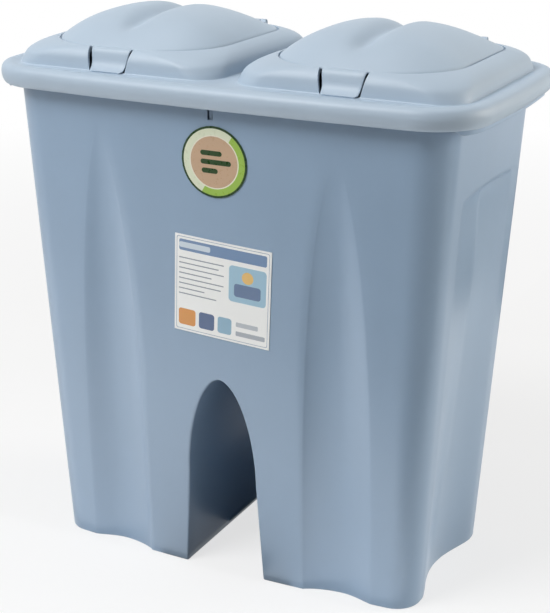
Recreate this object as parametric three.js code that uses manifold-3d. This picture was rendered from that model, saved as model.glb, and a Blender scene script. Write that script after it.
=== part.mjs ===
// Double recycling bin: one moulded tub that stands on two legs with an arched tunnel between them,
// a divider panel, a one-piece cover with two humps, and a hinged domed flap in each hump.
// Millimetres, +Z up, front toward -Y, origin on the floor under the middle of the bin.

import * as THREE from 'three';
import { mergeVertices } from 'three/addons/utils/BufferGeometryUtils.js';
import Module from 'manifold-3d';

const wasm = await Module();
wasm.setup();

// ---------------------------------------------------------------- driving dimensions

// Tub, outer sizes over the middle of each side
const TUB_HEIGHT = 536;
const FOOT_WIDTH = 431;
const FOOT_DEPTH = 231;
const FOOT_CORNER_RADIUS = 28;
const RIM_WIDTH = 490;
const RIM_DEPTH = 281;
const RIM_CORNER_RADIUS = 38;
const TUB_LONG_BOW = 7;
const TUB_SHORT_BOW = 0.5;
const TUB_WALL = 2.4;
const BASE_THICKNESS = 3;

// Standing ring under each leg
const FOOT_RING_WIDTH = 12;
const FOOT_RECESS_DEPTH = 1.6;

// Leaf-shaped flutes, two on the front and two on the back
const FLUTE_OFFSET = 133;
const FLUTE_HALF_WIDTH = 39;
const FLUTE_DEPTH = 10;
const FLUTE_TIP_BELOW_RIM = 54;
const FLUTE_SOFTNESS = 1.15;

// Flat-topped channel down each short side, creased along its middle at the top and round at the foot
const CHANNEL_HALF_WIDTH = 74;
const CHANNEL_DEPTH = 16;
const CHANNEL_TOP_SHARE = 0.22;
const CHANNEL_TOP_BELOW_RIM = 96;
const CHANNEL_LEDGE_HEIGHT = 6;
const CHANNEL_SOFTNESS = 1.5;

// Arched tunnel between the legs
const TUNNEL_FOOT_WIDTH = 93;
const TUNNEL_SPRING_WIDTH = 79.5;
const TUNNEL_SPRING_HEIGHT = 115;
const TUNNEL_CROWN_HEIGHT = 228;

// Out-turned rim flange of the tub, with a lip that hangs deep at the short sides as a grip
const FLANGE_THICKNESS = 2.4;
const FLANGE_TO_SKIRT = 1.6;
const GRIP_LIP_HEIGHT = 23;
const FRONT_LIP_HEIGHT = 9;

// Divider panel, its grooves inside the front and back walls, and the slot its lugs snap into
const DIVIDER_THICKNESS = 3;
const DIVIDER_CLEARANCE = 0.4;
const DIVIDER_TOP_BELOW_RIM = 8;
const GROOVE_RIB_WIDTH = 2;
const GROOVE_RIB_HEIGHT = 5;
const SLOT_WIDTH = 3.8;
const SLOT_BOTTOM_BELOW_RIM = 29.5;
const SLOT_HEIGHT = 17;
const LUG_SET_BACK = 1.6;

// Cover rim; the skirt's lower edge stands out past the tub's rim over the middle of each side
const SKIRT_END_OVERHANG = 25;
const SKIRT_FRONT_OVERHANG = 11.5;
const SKIRT_CORNER_RADIUS = 60;
const SKIRT_LONG_BOW = 6;
const SKIRT_SHORT_BOW = 3;
const SKIRT_DROP = 17;
const SKIRT_BULGE = 3.6;
const ROLL_RISE = 1.6;
const ROLL_WIDTH = 22;
const COVER_WALL = 2.4;
const SEAT_GAP = 0.3;

// Humps of the cover, one over each compartment, set in from the skirt's lower edge
const HUMP_FROM_SKIRT_END = 20;
const HUMP_FROM_SKIRT_FRONT = 31;
const HUMP_PARTING = 16;
const HUMP_FOOT_RADIUS = 34;
const HUMP_RISE = 23.3;
const HUMP_EDGE_WIDTH = 1.6;

// Flaps, set in from the hump's foot, and the openings they close
const FLAP_IN_FROM_HUMP_SIDE = 25;
const FLAP_IN_FROM_HUMP_FRONT = 13;
const FLAP_IN_FROM_HUMP_BACK = 22.5;
const FLAP_FRONT_RADIUS = 70;
const FLAP_BACK_RADIUS = 36;
const FLAP_THICKNESS = 2.4;
const FLAP_RISE = 30.5;
const FLAP_SIDE_GAP = 2;
const FLAP_FRONT_GAP = 0.6;
const FLAP_BACK_GAP = 2.7;
const SHELF_WIDTH = 5;
const VALLEY_DEPTH = 10;
const VALLEY_SPREAD = 13;

// Finger tab on the front of each flap, and its notch in the hump
const TAB_TOP_WIDTH = 46;
const TAB_FOOT_WIDTH = 38;
const TAB_THICKNESS = 2.4;
const TAB_REACH = 18;
const TAB_GAP = 1;
const NOTCH_TOP_WIDTH = 52;
const NOTCH_FOOT_WIDTH = 42;

// Snap-in hinge at the back of each flap
const HINGE_BEHIND_FLAP = 4.5;
const HINGE_ABOVE_EDGE = 1;
const HINGE_ARM_SPACING = 110;
const HINGE_ARM_WIDTH = 10;
const HINGE_ARM_RADIUS = 3.8;
const HINGE_PIN_RADIUS = 2.4;
const HINGE_BORE_CLEARANCE = 0.35;
const HINGE_LUG_WIDTH = 5.5;
const HINGE_LUG_RADIUS = 4;
const HINGE_SIDE_GAP = 1;

// Round sticker and rectangular label on the front wall
const STICKER_DIAMETER = 73;
const STICKER_X = 3.3;
const STICKER_BELOW_RIM = 71.8;
const LABEL_WIDTH = 110;
const LABEL_HEIGHT = 106;
const LABEL_X = 7.4;
const LABEL_BELOW_RIM = 207;
const LABEL_TURN_DEGREES = -3.1;
const PAPER_THICKNESS = 0.5;
const PAPER_GAP = 0.3;

// Segments of the curves
const CORNER_SEGMENTS = 6;
const LONG_SIDE_SEGMENTS = 8;
const SHORT_SIDE_SEGMENTS = 6;
const FLUTE_SEGMENTS = 8;
const PANEL_SEGMENTS = 4;
const CHANNEL_SEGMENTS = 8;

// ---------------------------------------------------------------- derived sizes and levels

const SKIRT_WIDTH = RIM_WIDTH + 2 * SKIRT_END_OVERHANG;
const SKIRT_DEPTH = RIM_DEPTH + 2 * SKIRT_FRONT_OVERHANG;
const HUMP_FOOT_WIDTH = (SKIRT_WIDTH - HUMP_PARTING) / 2 - HUMP_FROM_SKIRT_END;
const HUMP_FOOT_DEPTH = SKIRT_DEPTH - 2 * HUMP_FROM_SKIRT_FRONT;
const HUMP_CENTRE = (HUMP_PARTING + HUMP_FOOT_WIDTH) / 2;
const FLAP_WIDTH = HUMP_FOOT_WIDTH - 2 * FLAP_IN_FROM_HUMP_SIDE;
const FLAP_FRONT_Y = -HUMP_FOOT_DEPTH / 2 + FLAP_IN_FROM_HUMP_FRONT;
const FLAP_BACK_Y = HUMP_FOOT_DEPTH / 2 - FLAP_IN_FROM_HUMP_BACK;
const HINGE_Y = FLAP_BACK_Y + HINGE_BEHIND_FLAP;
const SKIRT_BOTTOM_Z = TUB_HEIGHT - SKIRT_DROP;
const PLATE_UNDER_Z = TUB_HEIGHT + SEAT_GAP;
const PLATE_Z = PLATE_UNDER_Z + COVER_WALL;
const HUMP_EDGE_Z = PLATE_Z + HUMP_RISE;
const SHELF_TOP_Z = HUMP_EDGE_Z - FLAP_THICKNESS - SEAT_GAP;
const SHELF_UNDER_Z = SHELF_TOP_Z - COVER_WALL;
const HINGE_Z = HUMP_EDGE_Z + HINGE_ABOVE_EDGE;
const FLUTE_TIP_Z = TUB_HEIGHT - FLUTE_TIP_BELOW_RIM;
const CHANNEL_TOP_Z = TUB_HEIGHT - CHANNEL_TOP_BELOW_RIM;
const MARGIN = 20;

// ---------------------------------------------------------------- geometry helpers

const { lerp, smoothstep } = THREE.MathUtils;

/** Signed volume of an indexed triangle mesh; positive when its faces point outward. */
function signedVolume(positions, triangles) {
  const [a, b, c] = [new THREE.Vector3(), new THREE.Vector3(), new THREE.Vector3()];
  let total = 0;
  for (let i = 0; i < triangles.length; i += 3) {
    a.fromArray(positions, 3 * triangles[i]);
    b.fromArray(positions, 3 * triangles[i + 1]);
    c.fromArray(positions, 3 * triangles[i + 2]);
    total += a.dot(b.cross(c)) / 6;
  }
  return total;
}

/** A closed body through rings of equal length: capped at its ends, or joined up as a closed loop. */
function loft(rings, { loop = false } = {}) {
  const count = rings[0].length;
  const positions = rings.flat().flatMap((point) => point.toArray());
  const triangles = [];
  const spans = loop ? rings.length : rings.length - 1;
  for (let k = 0; k < spans; k++) {
    const lower = k * count;
    const upper = ((k + 1) % rings.length) * count;
    for (let i = 0; i < count; i++) {
      const next = (i + 1) % count;
      triangles.push(lower + i, lower + next, upper + next, lower + i, upper + next, upper + i);
    }
  }
  if (!loop) {
    const last = (rings.length - 1) * count;
    const centres = [rings[0], rings[rings.length - 1]].map((ring) =>
      ring.reduce((sum, point) => sum.add(point), new THREE.Vector3()).divideScalar(count));
    const first = positions.length / 3;
    positions.push(...centres[0].toArray(), ...centres[1].toArray());
    for (let i = 0; i < count; i++) {
      const next = (i + 1) % count;
      triangles.push(first, next, i, first + 1, last + i, last + next);
    }
  }
  if (signedVolume(positions, triangles) < 0) triangles.reverse();
  const geometry = new THREE.BufferGeometry();
  geometry.setAttribute('position', new THREE.Float32BufferAttribute(positions, 3));
  geometry.setIndex(triangles);
  return geometry;
}

/** A three.js geometry as a manifold solid. */
function solid(geometry) {
  const bare = geometry.clone();
  bare.deleteAttribute('normal');
  bare.deleteAttribute('uv');
  const merged = mergeVertices(bare, 1e-4);
  return new wasm.Manifold(new wasm.Mesh({
    numProp: 3,
    vertProperties: new Float32Array(merged.attributes.position.array),
    triVerts: new Uint32Array(merged.index.array),
  }));
}

/** A box given by its lowest and highest corners. */
function block([x0, y0, z0], [x1, y1, z1]) {
  const box = new THREE.BoxGeometry(x1 - x0, y1 - y0, z1 - z0);
  return solid(box.translate((x0 + x1) / 2, (y0 + y1) / 2, (z0 + z1) / 2));
}

/** An outline given as [y, z] pairs, extruded along X between x0 and x1. */
function extrudeAlongX(outline, x0, x1) {
  const shape = new THREE.Shape(outline.map(([y, z]) => new THREE.Vector2(y, z)));
  const body = new THREE.ExtrudeGeometry(shape, { depth: x1 - x0, bevelEnabled: false });
  const axes = new THREE.Matrix4().makeBasis(
    new THREE.Vector3(0, 1, 0), new THREE.Vector3(0, 0, 1), new THREE.Vector3(1, 0, 0));
  return solid(body.applyMatrix4(axes).translate(x0, 0, 0));
}

/** Points of an arc in a plane, from one angle to another in radians. */
function arc([u, v], radius, from, to, segments) {
  return Array.from({ length: segments + 1 }, (_, i) => {
    const angle = lerp(from, to, i / segments);
    return [u + radius * Math.cos(angle), v + radius * Math.sin(angle)];
  });
}

/** Positions of evenly spaced steps, both ends included. */
function steps(from, to, segments) {
  return Array.from({ length: segments + 1 }, (_, i) => lerp(from, to, i / segments));
}

// ---------------------------------------------------------------- plan outlines

/**
 * Plan of a rounded rectangle with bowed sides: half sizes over the middle of each side, and where
 * the arcs of its corners start and end.
 */
function bowedPlan(width, depth, radius, longBow, shortBow, offset = 0) {
  const halfX = width / 2 + offset;
  const halfY = depth / 2 + offset;
  const corner = radius + offset;
  const longSlope = Math.atan(2 * longBow / halfX);
  const shortSlope = Math.atan(2 * shortBow / halfY);
  const centreX = halfX - shortBow - corner * Math.cos(shortSlope);
  const centreY = halfY - longBow - corner * Math.cos(longSlope);
  return {
    halfX, halfY, corner, longSlope, shortSlope, centreX, centreY, longBow, shortBow,
    endX: centreX + corner * Math.sin(longSlope),
    endY: centreY + corner * Math.sin(shortSlope),
  };
}

/** Distance of the bowed long side from the centre line, at x. */
function longSideY(plan, x) {
  return plan.halfY - plan.longBow * (x / plan.endX) ** 2;
}

/** Distance of the bowed short side from the centre line, at y. */
function shortSideX(plan, y) {
  return plan.halfX - plan.shortBow * (y / plan.endY) ** 2;
}

/**
 * Closed outline of a plan, counter-clockwise from above. longSide and shortSide list [place, inset]
 * pairs: places along the side, and how far the side is drawn in there.
 */
function planOutline(plan, longSide, shortSide) {
  const points = [];
  const addCorner = (signX, signY, from, to) => {
    const centre = [signX * plan.centreX, signY * plan.centreY];
    points.push(...arc(centre, plan.corner, from, to, CORNER_SEGMENTS));
  };
  const quarter = Math.PI / 2;
  for (const [x, inset] of longSide.slice(1, -1)) points.push([x, -longSideY(plan, x) + inset]);
  addCorner(1, -1, -quarter + plan.longSlope, -plan.shortSlope);
  for (const [y, inset] of shortSide.slice(1, -1)) points.push([shortSideX(plan, y) - inset, y]);
  addCorner(1, 1, plan.shortSlope, quarter - plan.longSlope);
  for (const [x, inset] of longSide.slice(1, -1)) points.push([-x, longSideY(plan, x) - inset]);
  addCorner(-1, 1, quarter + plan.longSlope, 2 * quarter - plan.shortSlope);
  for (const [y, inset] of shortSide.slice(1, -1)) points.push([-shortSideX(plan, y) + inset, -y]);
  addCorner(-1, -1, 2 * quarter + plan.shortSlope, 3 * quarter - plan.longSlope);
  return points;
}

/** Outline of a plan with plain bowed sides. */
function plainOutline(plan) {
  const longSide = steps(-plan.endX, plan.endX, LONG_SIDE_SEGMENTS).map((x) => [x, 0]);
  const shortSide = steps(-plan.endY, plan.endY, SHORT_SIDE_SEGMENTS).map((y) => [y, 0]);
  return planOutline(plan, longSide, shortSide);
}

/** Outline of a rectangle with its own radius at the front and the back, counter-clockwise. */
function rectangleOutline({ x0, x1, y0, y1, frontRadius, backRadius }, inset = 0) {
  const front = Math.max(frontRadius - inset, 0.5);
  const back = Math.max(backRadius - inset, 0.5);
  const quarter = Math.PI / 2;
  const corners = [
    [x1 - inset - front, y0 + inset + front, front], [x1 - inset - back, y1 - inset - back, back],
    [x0 + inset + back, y1 - inset - back, back], [x0 + inset + front, y0 + inset + front, front],
  ];
  return corners.flatMap(([x, y, radius], i) =>
    arc([x, y], radius, (i - 1) * quarter, i * quarter, CORNER_SEGMENTS));
}

/** Lifts a plan outline to a ring at height z. */
function ringAt(outline, z) {
  return outline.map(([x, y]) => new THREE.Vector3(x, y, z));
}

/** Moves a ring inward by a distance, square to its sides. */
function insetRing(ring, distance) {
  return ring.map((point, i) => {
    const before = ring[(i + ring.length - 1) % ring.length];
    const after = ring[(i + 1) % ring.length];
    const along = new THREE.Vector3().subVectors(after, before).setZ(0).normalize();
    return new THREE.Vector3(point.x - along.y * distance, point.y + along.x * distance, point.z);
  });
}

// ---------------------------------------------------------------- tub

/** Share of a flute's full width and depth that is left at height z: full at the foot, none at its tip. */
function fluteShare(z) {
  const height = Math.min(z / FLUTE_TIP_Z, 1);
  return (1 - height ** 3) ** 0.7;
}

/** Share of the side channel's depth at height z: full at the foot, less at its ledge, none above. */
function channelShare(z) {
  const taper = lerp(1, CHANNEL_TOP_SHARE, z / CHANNEL_TOP_Z);
  return taper * smoothstep(CHANNEL_TOP_Z - z, 0, CHANNEL_LEDGE_HEIGHT);
}

/** Plan of the tub at height z, without its flutes. */
function tubPlan(z) {
  const share = z / TUB_HEIGHT;
  return bowedPlan(
    lerp(FOOT_WIDTH, RIM_WIDTH, share), lerp(FOOT_DEPTH, RIM_DEPTH, share),
    lerp(FOOT_CORNER_RADIUS, RIM_CORNER_RADIUS, share), TUB_LONG_BOW, TUB_SHORT_BOW);
}

/** Round-bottomed hollow across its own width: 1 in the middle, 0 at its creases. */
function hollow(across, softness) {
  return Math.max(1 - across * across, 0) ** softness;
}

/** Outer ring of the tub at height z, with its points on the creases of the flutes and channels. */
function tubRing(z) {
  const plan = tubPlan(z);
  const share = fluteShare(z);
  const halfFlute = FLUTE_HALF_WIDTH * Math.max(share, 0.06);
  const fluteDepth = FLUTE_DEPTH * share ** 2;
  const flute = (centre) => steps(-1, 1, FLUTE_SEGMENTS).map(
    (across) => [centre + across * halfFlute, fluteDepth * hollow(across, FLUTE_SOFTNESS)]);
  const panel = steps(-1, 1, PANEL_SEGMENTS).slice(1, -1).map(
    (across) => [across * (FLUTE_OFFSET - halfFlute), 0]);
  const longSide = [
    [-plan.endX, 0], ...flute(-FLUTE_OFFSET), ...panel, ...flute(FLUTE_OFFSET), [plan.endX, 0],
  ];
  const channelDepth = CHANNEL_DEPTH * channelShare(z);
  const creased = Math.min(z / CHANNEL_TOP_Z, 1);
  const channel = steps(-1, 1, CHANNEL_SEGMENTS).map((across) => [
    across * CHANNEL_HALF_WIDTH,
    channelDepth * lerp(hollow(across, CHANNEL_SOFTNESS), 1 - Math.abs(across), creased),
  ]);
  return ringAt(planOutline(plan, longSide, [[-plan.endY, 0], ...channel, [plan.endY, 0]]), z);
}

/** Half width of the tunnel at height z. */
function tunnelHalfWidth(z) {
  if (z <= TUNNEL_SPRING_HEIGHT) {
    return lerp(TUNNEL_FOOT_WIDTH, TUNNEL_SPRING_WIDTH, z / TUNNEL_SPRING_HEIGHT) / 2;
  }
  const rise = (z - TUNNEL_SPRING_HEIGHT) / (TUNNEL_CROWN_HEIGHT - TUNNEL_SPRING_HEIGHT);
  const roundness = 1.85;
  return TUNNEL_SPRING_WIDTH / 2 * Math.max(1 - rise ** roundness, 0) ** (1 / roundness);
}

/** The space of the tunnel, grown by a wall, right through the tub from front to back. */
function tunnelSpace(wall) {
  const crown = TUNNEL_CROWN_HEIGHT - TUNNEL_SPRING_HEIGHT;
  const archHeights = steps(0, Math.PI / 2, 9).map(
    (angle) => TUNNEL_SPRING_HEIGHT + crown * Math.sin(angle));
  const side = [-MARGIN, 0, ...archHeights].map(
    (z) => [tunnelHalfWidth(Math.max(z, 0)) + wall, z > 0 ? z + wall * (z / TUNNEL_CROWN_HEIGHT) : z]);
  side[side.length - 1][0] = 0;
  const outline = [...side, ...side.slice(0, -1).reverse().map(([x, z]) => [-x, z])];
  const rings = [-1, 1].map((end) =>
    outline.map(([x, z]) => new THREE.Vector3(x, end * (RIM_DEPTH / 2 + MARGIN), z)));
  return solid(loft(rings));
}

/** Plan of the cover's skirt at its lower edge, moved outward by an offset. */
function skirtPlan(offset) {
  return bowedPlan(
    SKIRT_WIDTH, SKIRT_DEPTH, SKIRT_CORNER_RADIUS, SKIRT_LONG_BOW, SKIRT_SHORT_BOW, offset);
}

/** Flange of the tub: a flat rim under the cover, and the lip that hangs from its outer edge. */
function tubFlange() {
  const outer = plainOutline(skirtPlan(-COVER_WALL - FLANGE_TO_SKIRT));
  const topRing = ringAt(outer, TUB_HEIGHT);
  const underRing = ringAt(outer, TUB_HEIGHT - FLANGE_THICKNESS);
  const plate = solid(loft([underRing, topRing]));
  const lipRing = topRing.map((point, i) => {
    const before = topRing[(i + topRing.length - 1) % topRing.length];
    const after = topRing[(i + 1) % topRing.length];
    const sideways = Math.abs(after.y - before.y) / after.distanceTo(before);
    const height = lerp(FRONT_LIP_HEIGHT, GRIP_LIP_HEIGHT, smoothstep(sideways, 0.5, 0.85));
    return point.clone().setZ(TUB_HEIGHT - height);
  });
  const lip = solid(loft(
    [topRing, insetRing(topRing, FLANGE_THICKNESS), insetRing(lipRing, FLANGE_THICKNESS), lipRing],
    { loop: true }));
  return plate.add(lip);
}

/** Rows of the tub's outside, close together where the flutes and channels end. */
function tubLevels(perSpan) {
  const ledgeFoot = CHANNEL_TOP_Z - CHANNEL_LEDGE_HEIGHT;
  const belowLedge = steps(0, 1, perSpan).map((share) => ledgeFoot * Math.sin(share * Math.PI / 2));
  const aboveLedge = steps(CHANNEL_TOP_Z, FLUTE_TIP_Z, Math.ceil(perSpan / 2));
  return [...belowLedge, ...aboveLedge, TUB_HEIGHT].sort((a, b) => a - b);
}

/** Two ribs on the inside of the front or back wall, with the divider's groove between them. */
function grooveRibs(side) {
  const inner = DIVIDER_THICKNESS / 2 + DIVIDER_CLEARANCE;
  const wallY = (z) => tubPlan(z).halfY - TUB_WALL / 2;
  const low = TUNNEL_CROWN_HEIGHT;
  const high = TUB_HEIGHT - DIVIDER_TOP_BELOW_RIM;
  const outline = [
    [side * wallY(low), low], [side * (wallY(low) - GROOVE_RIB_HEIGHT), low],
    [side * (wallY(high) - GROOVE_RIB_HEIGHT), high], [side * wallY(high), high],
  ];
  return [-inner - GROOVE_RIB_WIDTH, inner].map(
    (x) => extrudeAlongX(outline, x, x + GROOVE_RIB_WIDTH));
}

/** Slot through the front or back wall for a lug of the divider. */
function lugSlot(side) {
  const low = TUB_HEIGHT - SLOT_BOTTOM_BELOW_RIM;
  const outside = side * (RIM_DEPTH / 2 + MARGIN);
  const inside = side * (tubPlan(low).halfY - TUB_WALL * 2);
  return block(
    [-SLOT_WIDTH / 2, Math.min(outside, inside), low],
    [SLOT_WIDTH / 2, Math.max(outside, inside), low + SLOT_HEIGHT]);
}

/** Shallow hollow under one leg that leaves a standing ring round its edge. */
function footRecess(side) {
  const margin = FOOT_RING_WIDTH;
  const hollowPlan = {
    x0: TUNNEL_FOOT_WIDTH / 2 + margin, x1: FOOT_WIDTH / 2 - CHANNEL_DEPTH - margin,
    y0: -FOOT_DEPTH / 2 + FLUTE_DEPTH + margin, y1: FOOT_DEPTH / 2 - FLUTE_DEPTH - margin,
    frontRadius: FOOT_CORNER_RADIUS / 2, backRadius: FOOT_CORNER_RADIUS / 2,
  };
  const outline = rectangleOutline(hollowPlan).map(([x, y]) => [side * x, y]);
  return solid(loft([ringAt(outline, -MARGIN), ringAt(outline, FOOT_RECESS_DEPTH)]));
}

function makeTub() {
  const outside = solid(loft(tubLevels(8).map(tubRing)));
  const innerLevels = tubLevels(5).filter((z) => z > BASE_THICKNESS + FOOT_RECESS_DEPTH);
  const inside = solid(loft([
    insetRing(tubRing(BASE_THICKNESS + FOOT_RECESS_DEPTH), TUB_WALL),
    ...innerLevels.map((z) => insetRing(tubRing(z), TUB_WALL)),
    insetRing(tubRing(TUB_HEIGHT), TUB_WALL).map((point) => point.setZ(TUB_HEIGHT + MARGIN)),
  ]));
  let tub = outside
    .add(tubFlange())
    .subtract(inside.subtract(tunnelSpace(TUB_WALL)))
    .subtract(tunnelSpace(0));
  for (const side of [-1, 1]) {
    for (const rib of grooveRibs(side)) tub = tub.add(rib);
    tub = tub.subtract(lugSlot(side)).subtract(footRecess(side));
  }
  return tub;
}

// ---------------------------------------------------------------- divider

function makeDivider() {
  const low = TUNNEL_CROWN_HEIGHT + TUB_WALL + SEAT_GAP;
  const high = TUB_HEIGHT - DIVIDER_TOP_BELOW_RIM;
  const edgeY = (z) => tubPlan(z).halfY - TUB_WALL - DIVIDER_CLEARANCE;
  const lugLow = TUB_HEIGHT - SLOT_BOTTOM_BELOW_RIM + SEAT_GAP;
  const lugHigh = lugLow + SLOT_HEIGHT - 2 * SEAT_GAP;
  const lugY = tubPlan(lugLow).halfY - LUG_SET_BACK;
  const half = [
    [edgeY(low), low], [edgeY(lugLow), lugLow], [lugY, lugLow], [edgeY(lugHigh), lugHigh],
    [edgeY(high), high],
  ];
  const outline = [...half, ...half.slice().reverse().map(([y, z]) => [-y, z])];
  return extrudeAlongX(outline, -DIVIDER_THICKNESS / 2, DIVIDER_THICKNESS / 2);
}

// ---------------------------------------------------------------- cover

/** Plan of a hump between its foot (share 0) and the edge round the flap's opening (share 1). */
function humpPlan(side, share) {
  const opening = openingPlan(side);
  const foot = {
    x0: side * HUMP_CENTRE - HUMP_FOOT_WIDTH / 2, x1: side * HUMP_CENTRE + HUMP_FOOT_WIDTH / 2,
    y0: -HUMP_FOOT_DEPTH / 2, y1: HUMP_FOOT_DEPTH / 2,
  };
  return {
    x0: lerp(foot.x0, opening.x0 - HUMP_EDGE_WIDTH, share),
    x1: lerp(foot.x1, opening.x1 + HUMP_EDGE_WIDTH, share),
    y0: lerp(foot.y0, opening.y0 - HUMP_EDGE_WIDTH, share),
    y1: lerp(foot.y1, opening.y1 + HUMP_EDGE_WIDTH, share),
    frontRadius: lerp(HUMP_FOOT_RADIUS, opening.frontRadius + HUMP_EDGE_WIDTH, share),
    backRadius: lerp(HUMP_FOOT_RADIUS, opening.backRadius + HUMP_EDGE_WIDTH, share),
  };
}

/** Plan of the opening that a flap closes. */
function openingPlan(side) {
  return {
    x0: side * HUMP_CENTRE - FLAP_WIDTH / 2 - FLAP_SIDE_GAP,
    x1: side * HUMP_CENTRE + FLAP_WIDTH / 2 + FLAP_SIDE_GAP,
    y0: FLAP_FRONT_Y - FLAP_FRONT_GAP, y1: FLAP_BACK_Y + FLAP_BACK_GAP,
    frontRadius: FLAP_FRONT_RADIUS + FLAP_SIDE_GAP, backRadius: FLAP_BACK_RADIUS + FLAP_SIDE_GAP,
  };
}

/** Section through a hump's wall: how far it has drawn in, against how far it has risen. */
const HUMP_SECTION = [[0, 0], [0.06, 0.26], [0.18, 0.54], [0.42, 0.76], [0.72, 0.91], [1, 1]];

/** One hump, solid, from a little under the plate up to its edge, moved in square to its wall. */
function humpBody(side, inset, topZ) {
  const rings = HUMP_SECTION
    .map(([share, rise]) => [share, PLATE_Z + rise * HUMP_RISE - inset])
    .filter(([, z]) => z < topZ)
    .map(([share, z]) => ringAt(rectangleOutline(humpPlan(side, share), inset), z));
  const lastShare = Math.min((topZ - PLATE_Z + inset) / HUMP_RISE, 1);
  const foot = rings[0].map((point) => point.clone().setZ(SKIRT_BOTTOM_Z));
  const top = ringAt(rectangleOutline(humpPlan(side, lastShare), inset), topZ);
  return solid(loft([foot, ...rings, top]));
}

/** Rim of the cover as one solid disc: skirt, rolled edge, gutter and plate, moved in by a wall. */
function rimBody(wall) {
  const section = [
    [0, SKIRT_BOTTOM_Z - (wall > 0 ? MARGIN : 0)], [0, SKIRT_BOTTOM_Z],
    [SKIRT_BULGE * 0.75, SKIRT_BOTTOM_Z + 5], [SKIRT_BULGE, SKIRT_BOTTOM_Z + 12],
    [SKIRT_BULGE * 0.6, PLATE_Z - 2.5], [-SKIRT_BULGE * 0.3, PLATE_Z + ROLL_RISE * 0.4],
    [-ROLL_WIDTH * 0.3, PLATE_Z + ROLL_RISE], [-ROLL_WIDTH * 0.6, PLATE_Z + ROLL_RISE * 0.7],
    [-ROLL_WIDTH, PLATE_Z],
  ];
  const outlines = section.slice(wall > 0 ? 0 : 1);
  return solid(loft(outlines.map(([offset, z], i) =>
    ringAt(plainOutline(skirtPlan(offset - wall)), i > 1 ? z - wall : z))));
}

/** Notch in the hump's front wall for the flap's finger tab, wider at its top. */
function tabNotch(side) {
  const x = side * HUMP_CENTRE;
  const low = PLATE_Z + TAB_GAP / 2;
  const outline = [
    [x - NOTCH_FOOT_WIDTH / 2, low], [x + NOTCH_FOOT_WIDTH / 2, low],
    [x + NOTCH_TOP_WIDTH / 2, HUMP_EDGE_Z], [x + NOTCH_TOP_WIDTH / 2, HUMP_EDGE_Z + MARGIN],
    [x - NOTCH_TOP_WIDTH / 2, HUMP_EDGE_Z + MARGIN], [x - NOTCH_TOP_WIDTH / 2, HUMP_EDGE_Z],
  ];
  const rings = [-HUMP_FOOT_DEPTH / 2 - MARGIN, FLAP_FRONT_Y + SHELF_WIDTH * 2].map(
    (y) => outline.map(([px, z]) => new THREE.Vector3(px, y, z)));
  return solid(loft(rings));
}

/** Middle x of each hinge arm of one flap. */
function hingeArmPlaces(side) {
  return [-1, 1].map((end) => side * HUMP_CENTRE + end * HINGE_ARM_SPACING / 2);
}

/** Ends along X of the lugs beside each hinge arm of one flap. */
function hingeLugSpans(side) {
  const inner = HINGE_ARM_WIDTH / 2 + HINGE_SIDE_GAP;
  return hingeArmPlaces(side).flatMap((x) => [
    [x - inner - HINGE_LUG_WIDTH, x - inner], [x + inner, x + inner + HINGE_LUG_WIDTH],
  ]);
}

/** Lugs of one flap's hinge, two beside each arm. */
function hingeLugs(side) {
  const foot = HUMP_EDGE_Z - HUMP_RISE * 0.3;
  const outline = [
    ...arc([HINGE_Y, HINGE_Z], HINGE_LUG_RADIUS, 0, Math.PI, 8),
    [HINGE_Y - HINGE_LUG_RADIUS, foot], [HINGE_Y + HINGE_LUG_RADIUS, foot],
  ];
  return hingeLugSpans(side).map(([from, to]) => extrudeAlongX(outline, from, to));
}

/** Bores of one flap's hinge, one through each lug, that its pins snap into. */
function hingeBores(side) {
  const radius = HINGE_PIN_RADIUS + HINGE_BORE_CLEARANCE;
  const outline = arc([HINGE_Y, HINGE_Z], radius, 0, Math.PI * 2, 12).slice(0, -1);
  return hingeLugSpans(side).map(([from, to]) => extrudeAlongX(outline, from, to));
}

/** Slots in the back edge of one hump that the flap's hinge arms move in. */
function hingeArmSlots(side) {
  const half = HINGE_ARM_WIDTH / 2 + HINGE_SIDE_GAP;
  const floor = HINGE_Z - HINGE_ARM_RADIUS - 1.5;
  return hingeArmPlaces(side).map((x) => block(
    [x - half, FLAP_BACK_Y - SHELF_WIDTH, floor],
    [x + half, HINGE_Y + HINGE_ARM_RADIUS + 2, HINGE_Z + MARGIN]));
}

function makeCover() {
  let cover = rimBody(0);
  let hollowSpace = rimBody(COVER_WALL);
  for (const side of [-1, 1]) {
    cover = cover.add(humpBody(side, 0, HUMP_EDGE_Z));
    hollowSpace = hollowSpace.add(humpBody(side, COVER_WALL, SHELF_UNDER_Z));
  }
  cover = cover.subtract(hollowSpace);
  for (const side of [-1, 1]) {
    const opening = rectangleOutline(openingPlan(side));
    const throughHole = rectangleOutline(openingPlan(side), SHELF_WIDTH);
    cover = cover
      .subtract(solid(loft([ringAt(opening, SHELF_TOP_Z), ringAt(opening, HUMP_EDGE_Z + MARGIN)])))
      .subtract(solid(loft([ringAt(throughHole, PLATE_Z), ringAt(throughHole, HUMP_EDGE_Z)])))
      .subtract(tabNotch(side));
    for (const slot of hingeArmSlots(side)) cover = cover.subtract(slot);
    for (const lug of hingeLugs(side)) cover = cover.add(lug);
    for (const bore of hingeBores(side)) cover = cover.subtract(bore);
  }
  return cover;
}

// ---------------------------------------------------------------- flaps

const FLAP_MID_Y = (FLAP_FRONT_Y + FLAP_BACK_Y) / 2;
const FLAP_HALF_DEPTH = (FLAP_BACK_Y - FLAP_FRONT_Y) / 2;

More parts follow.
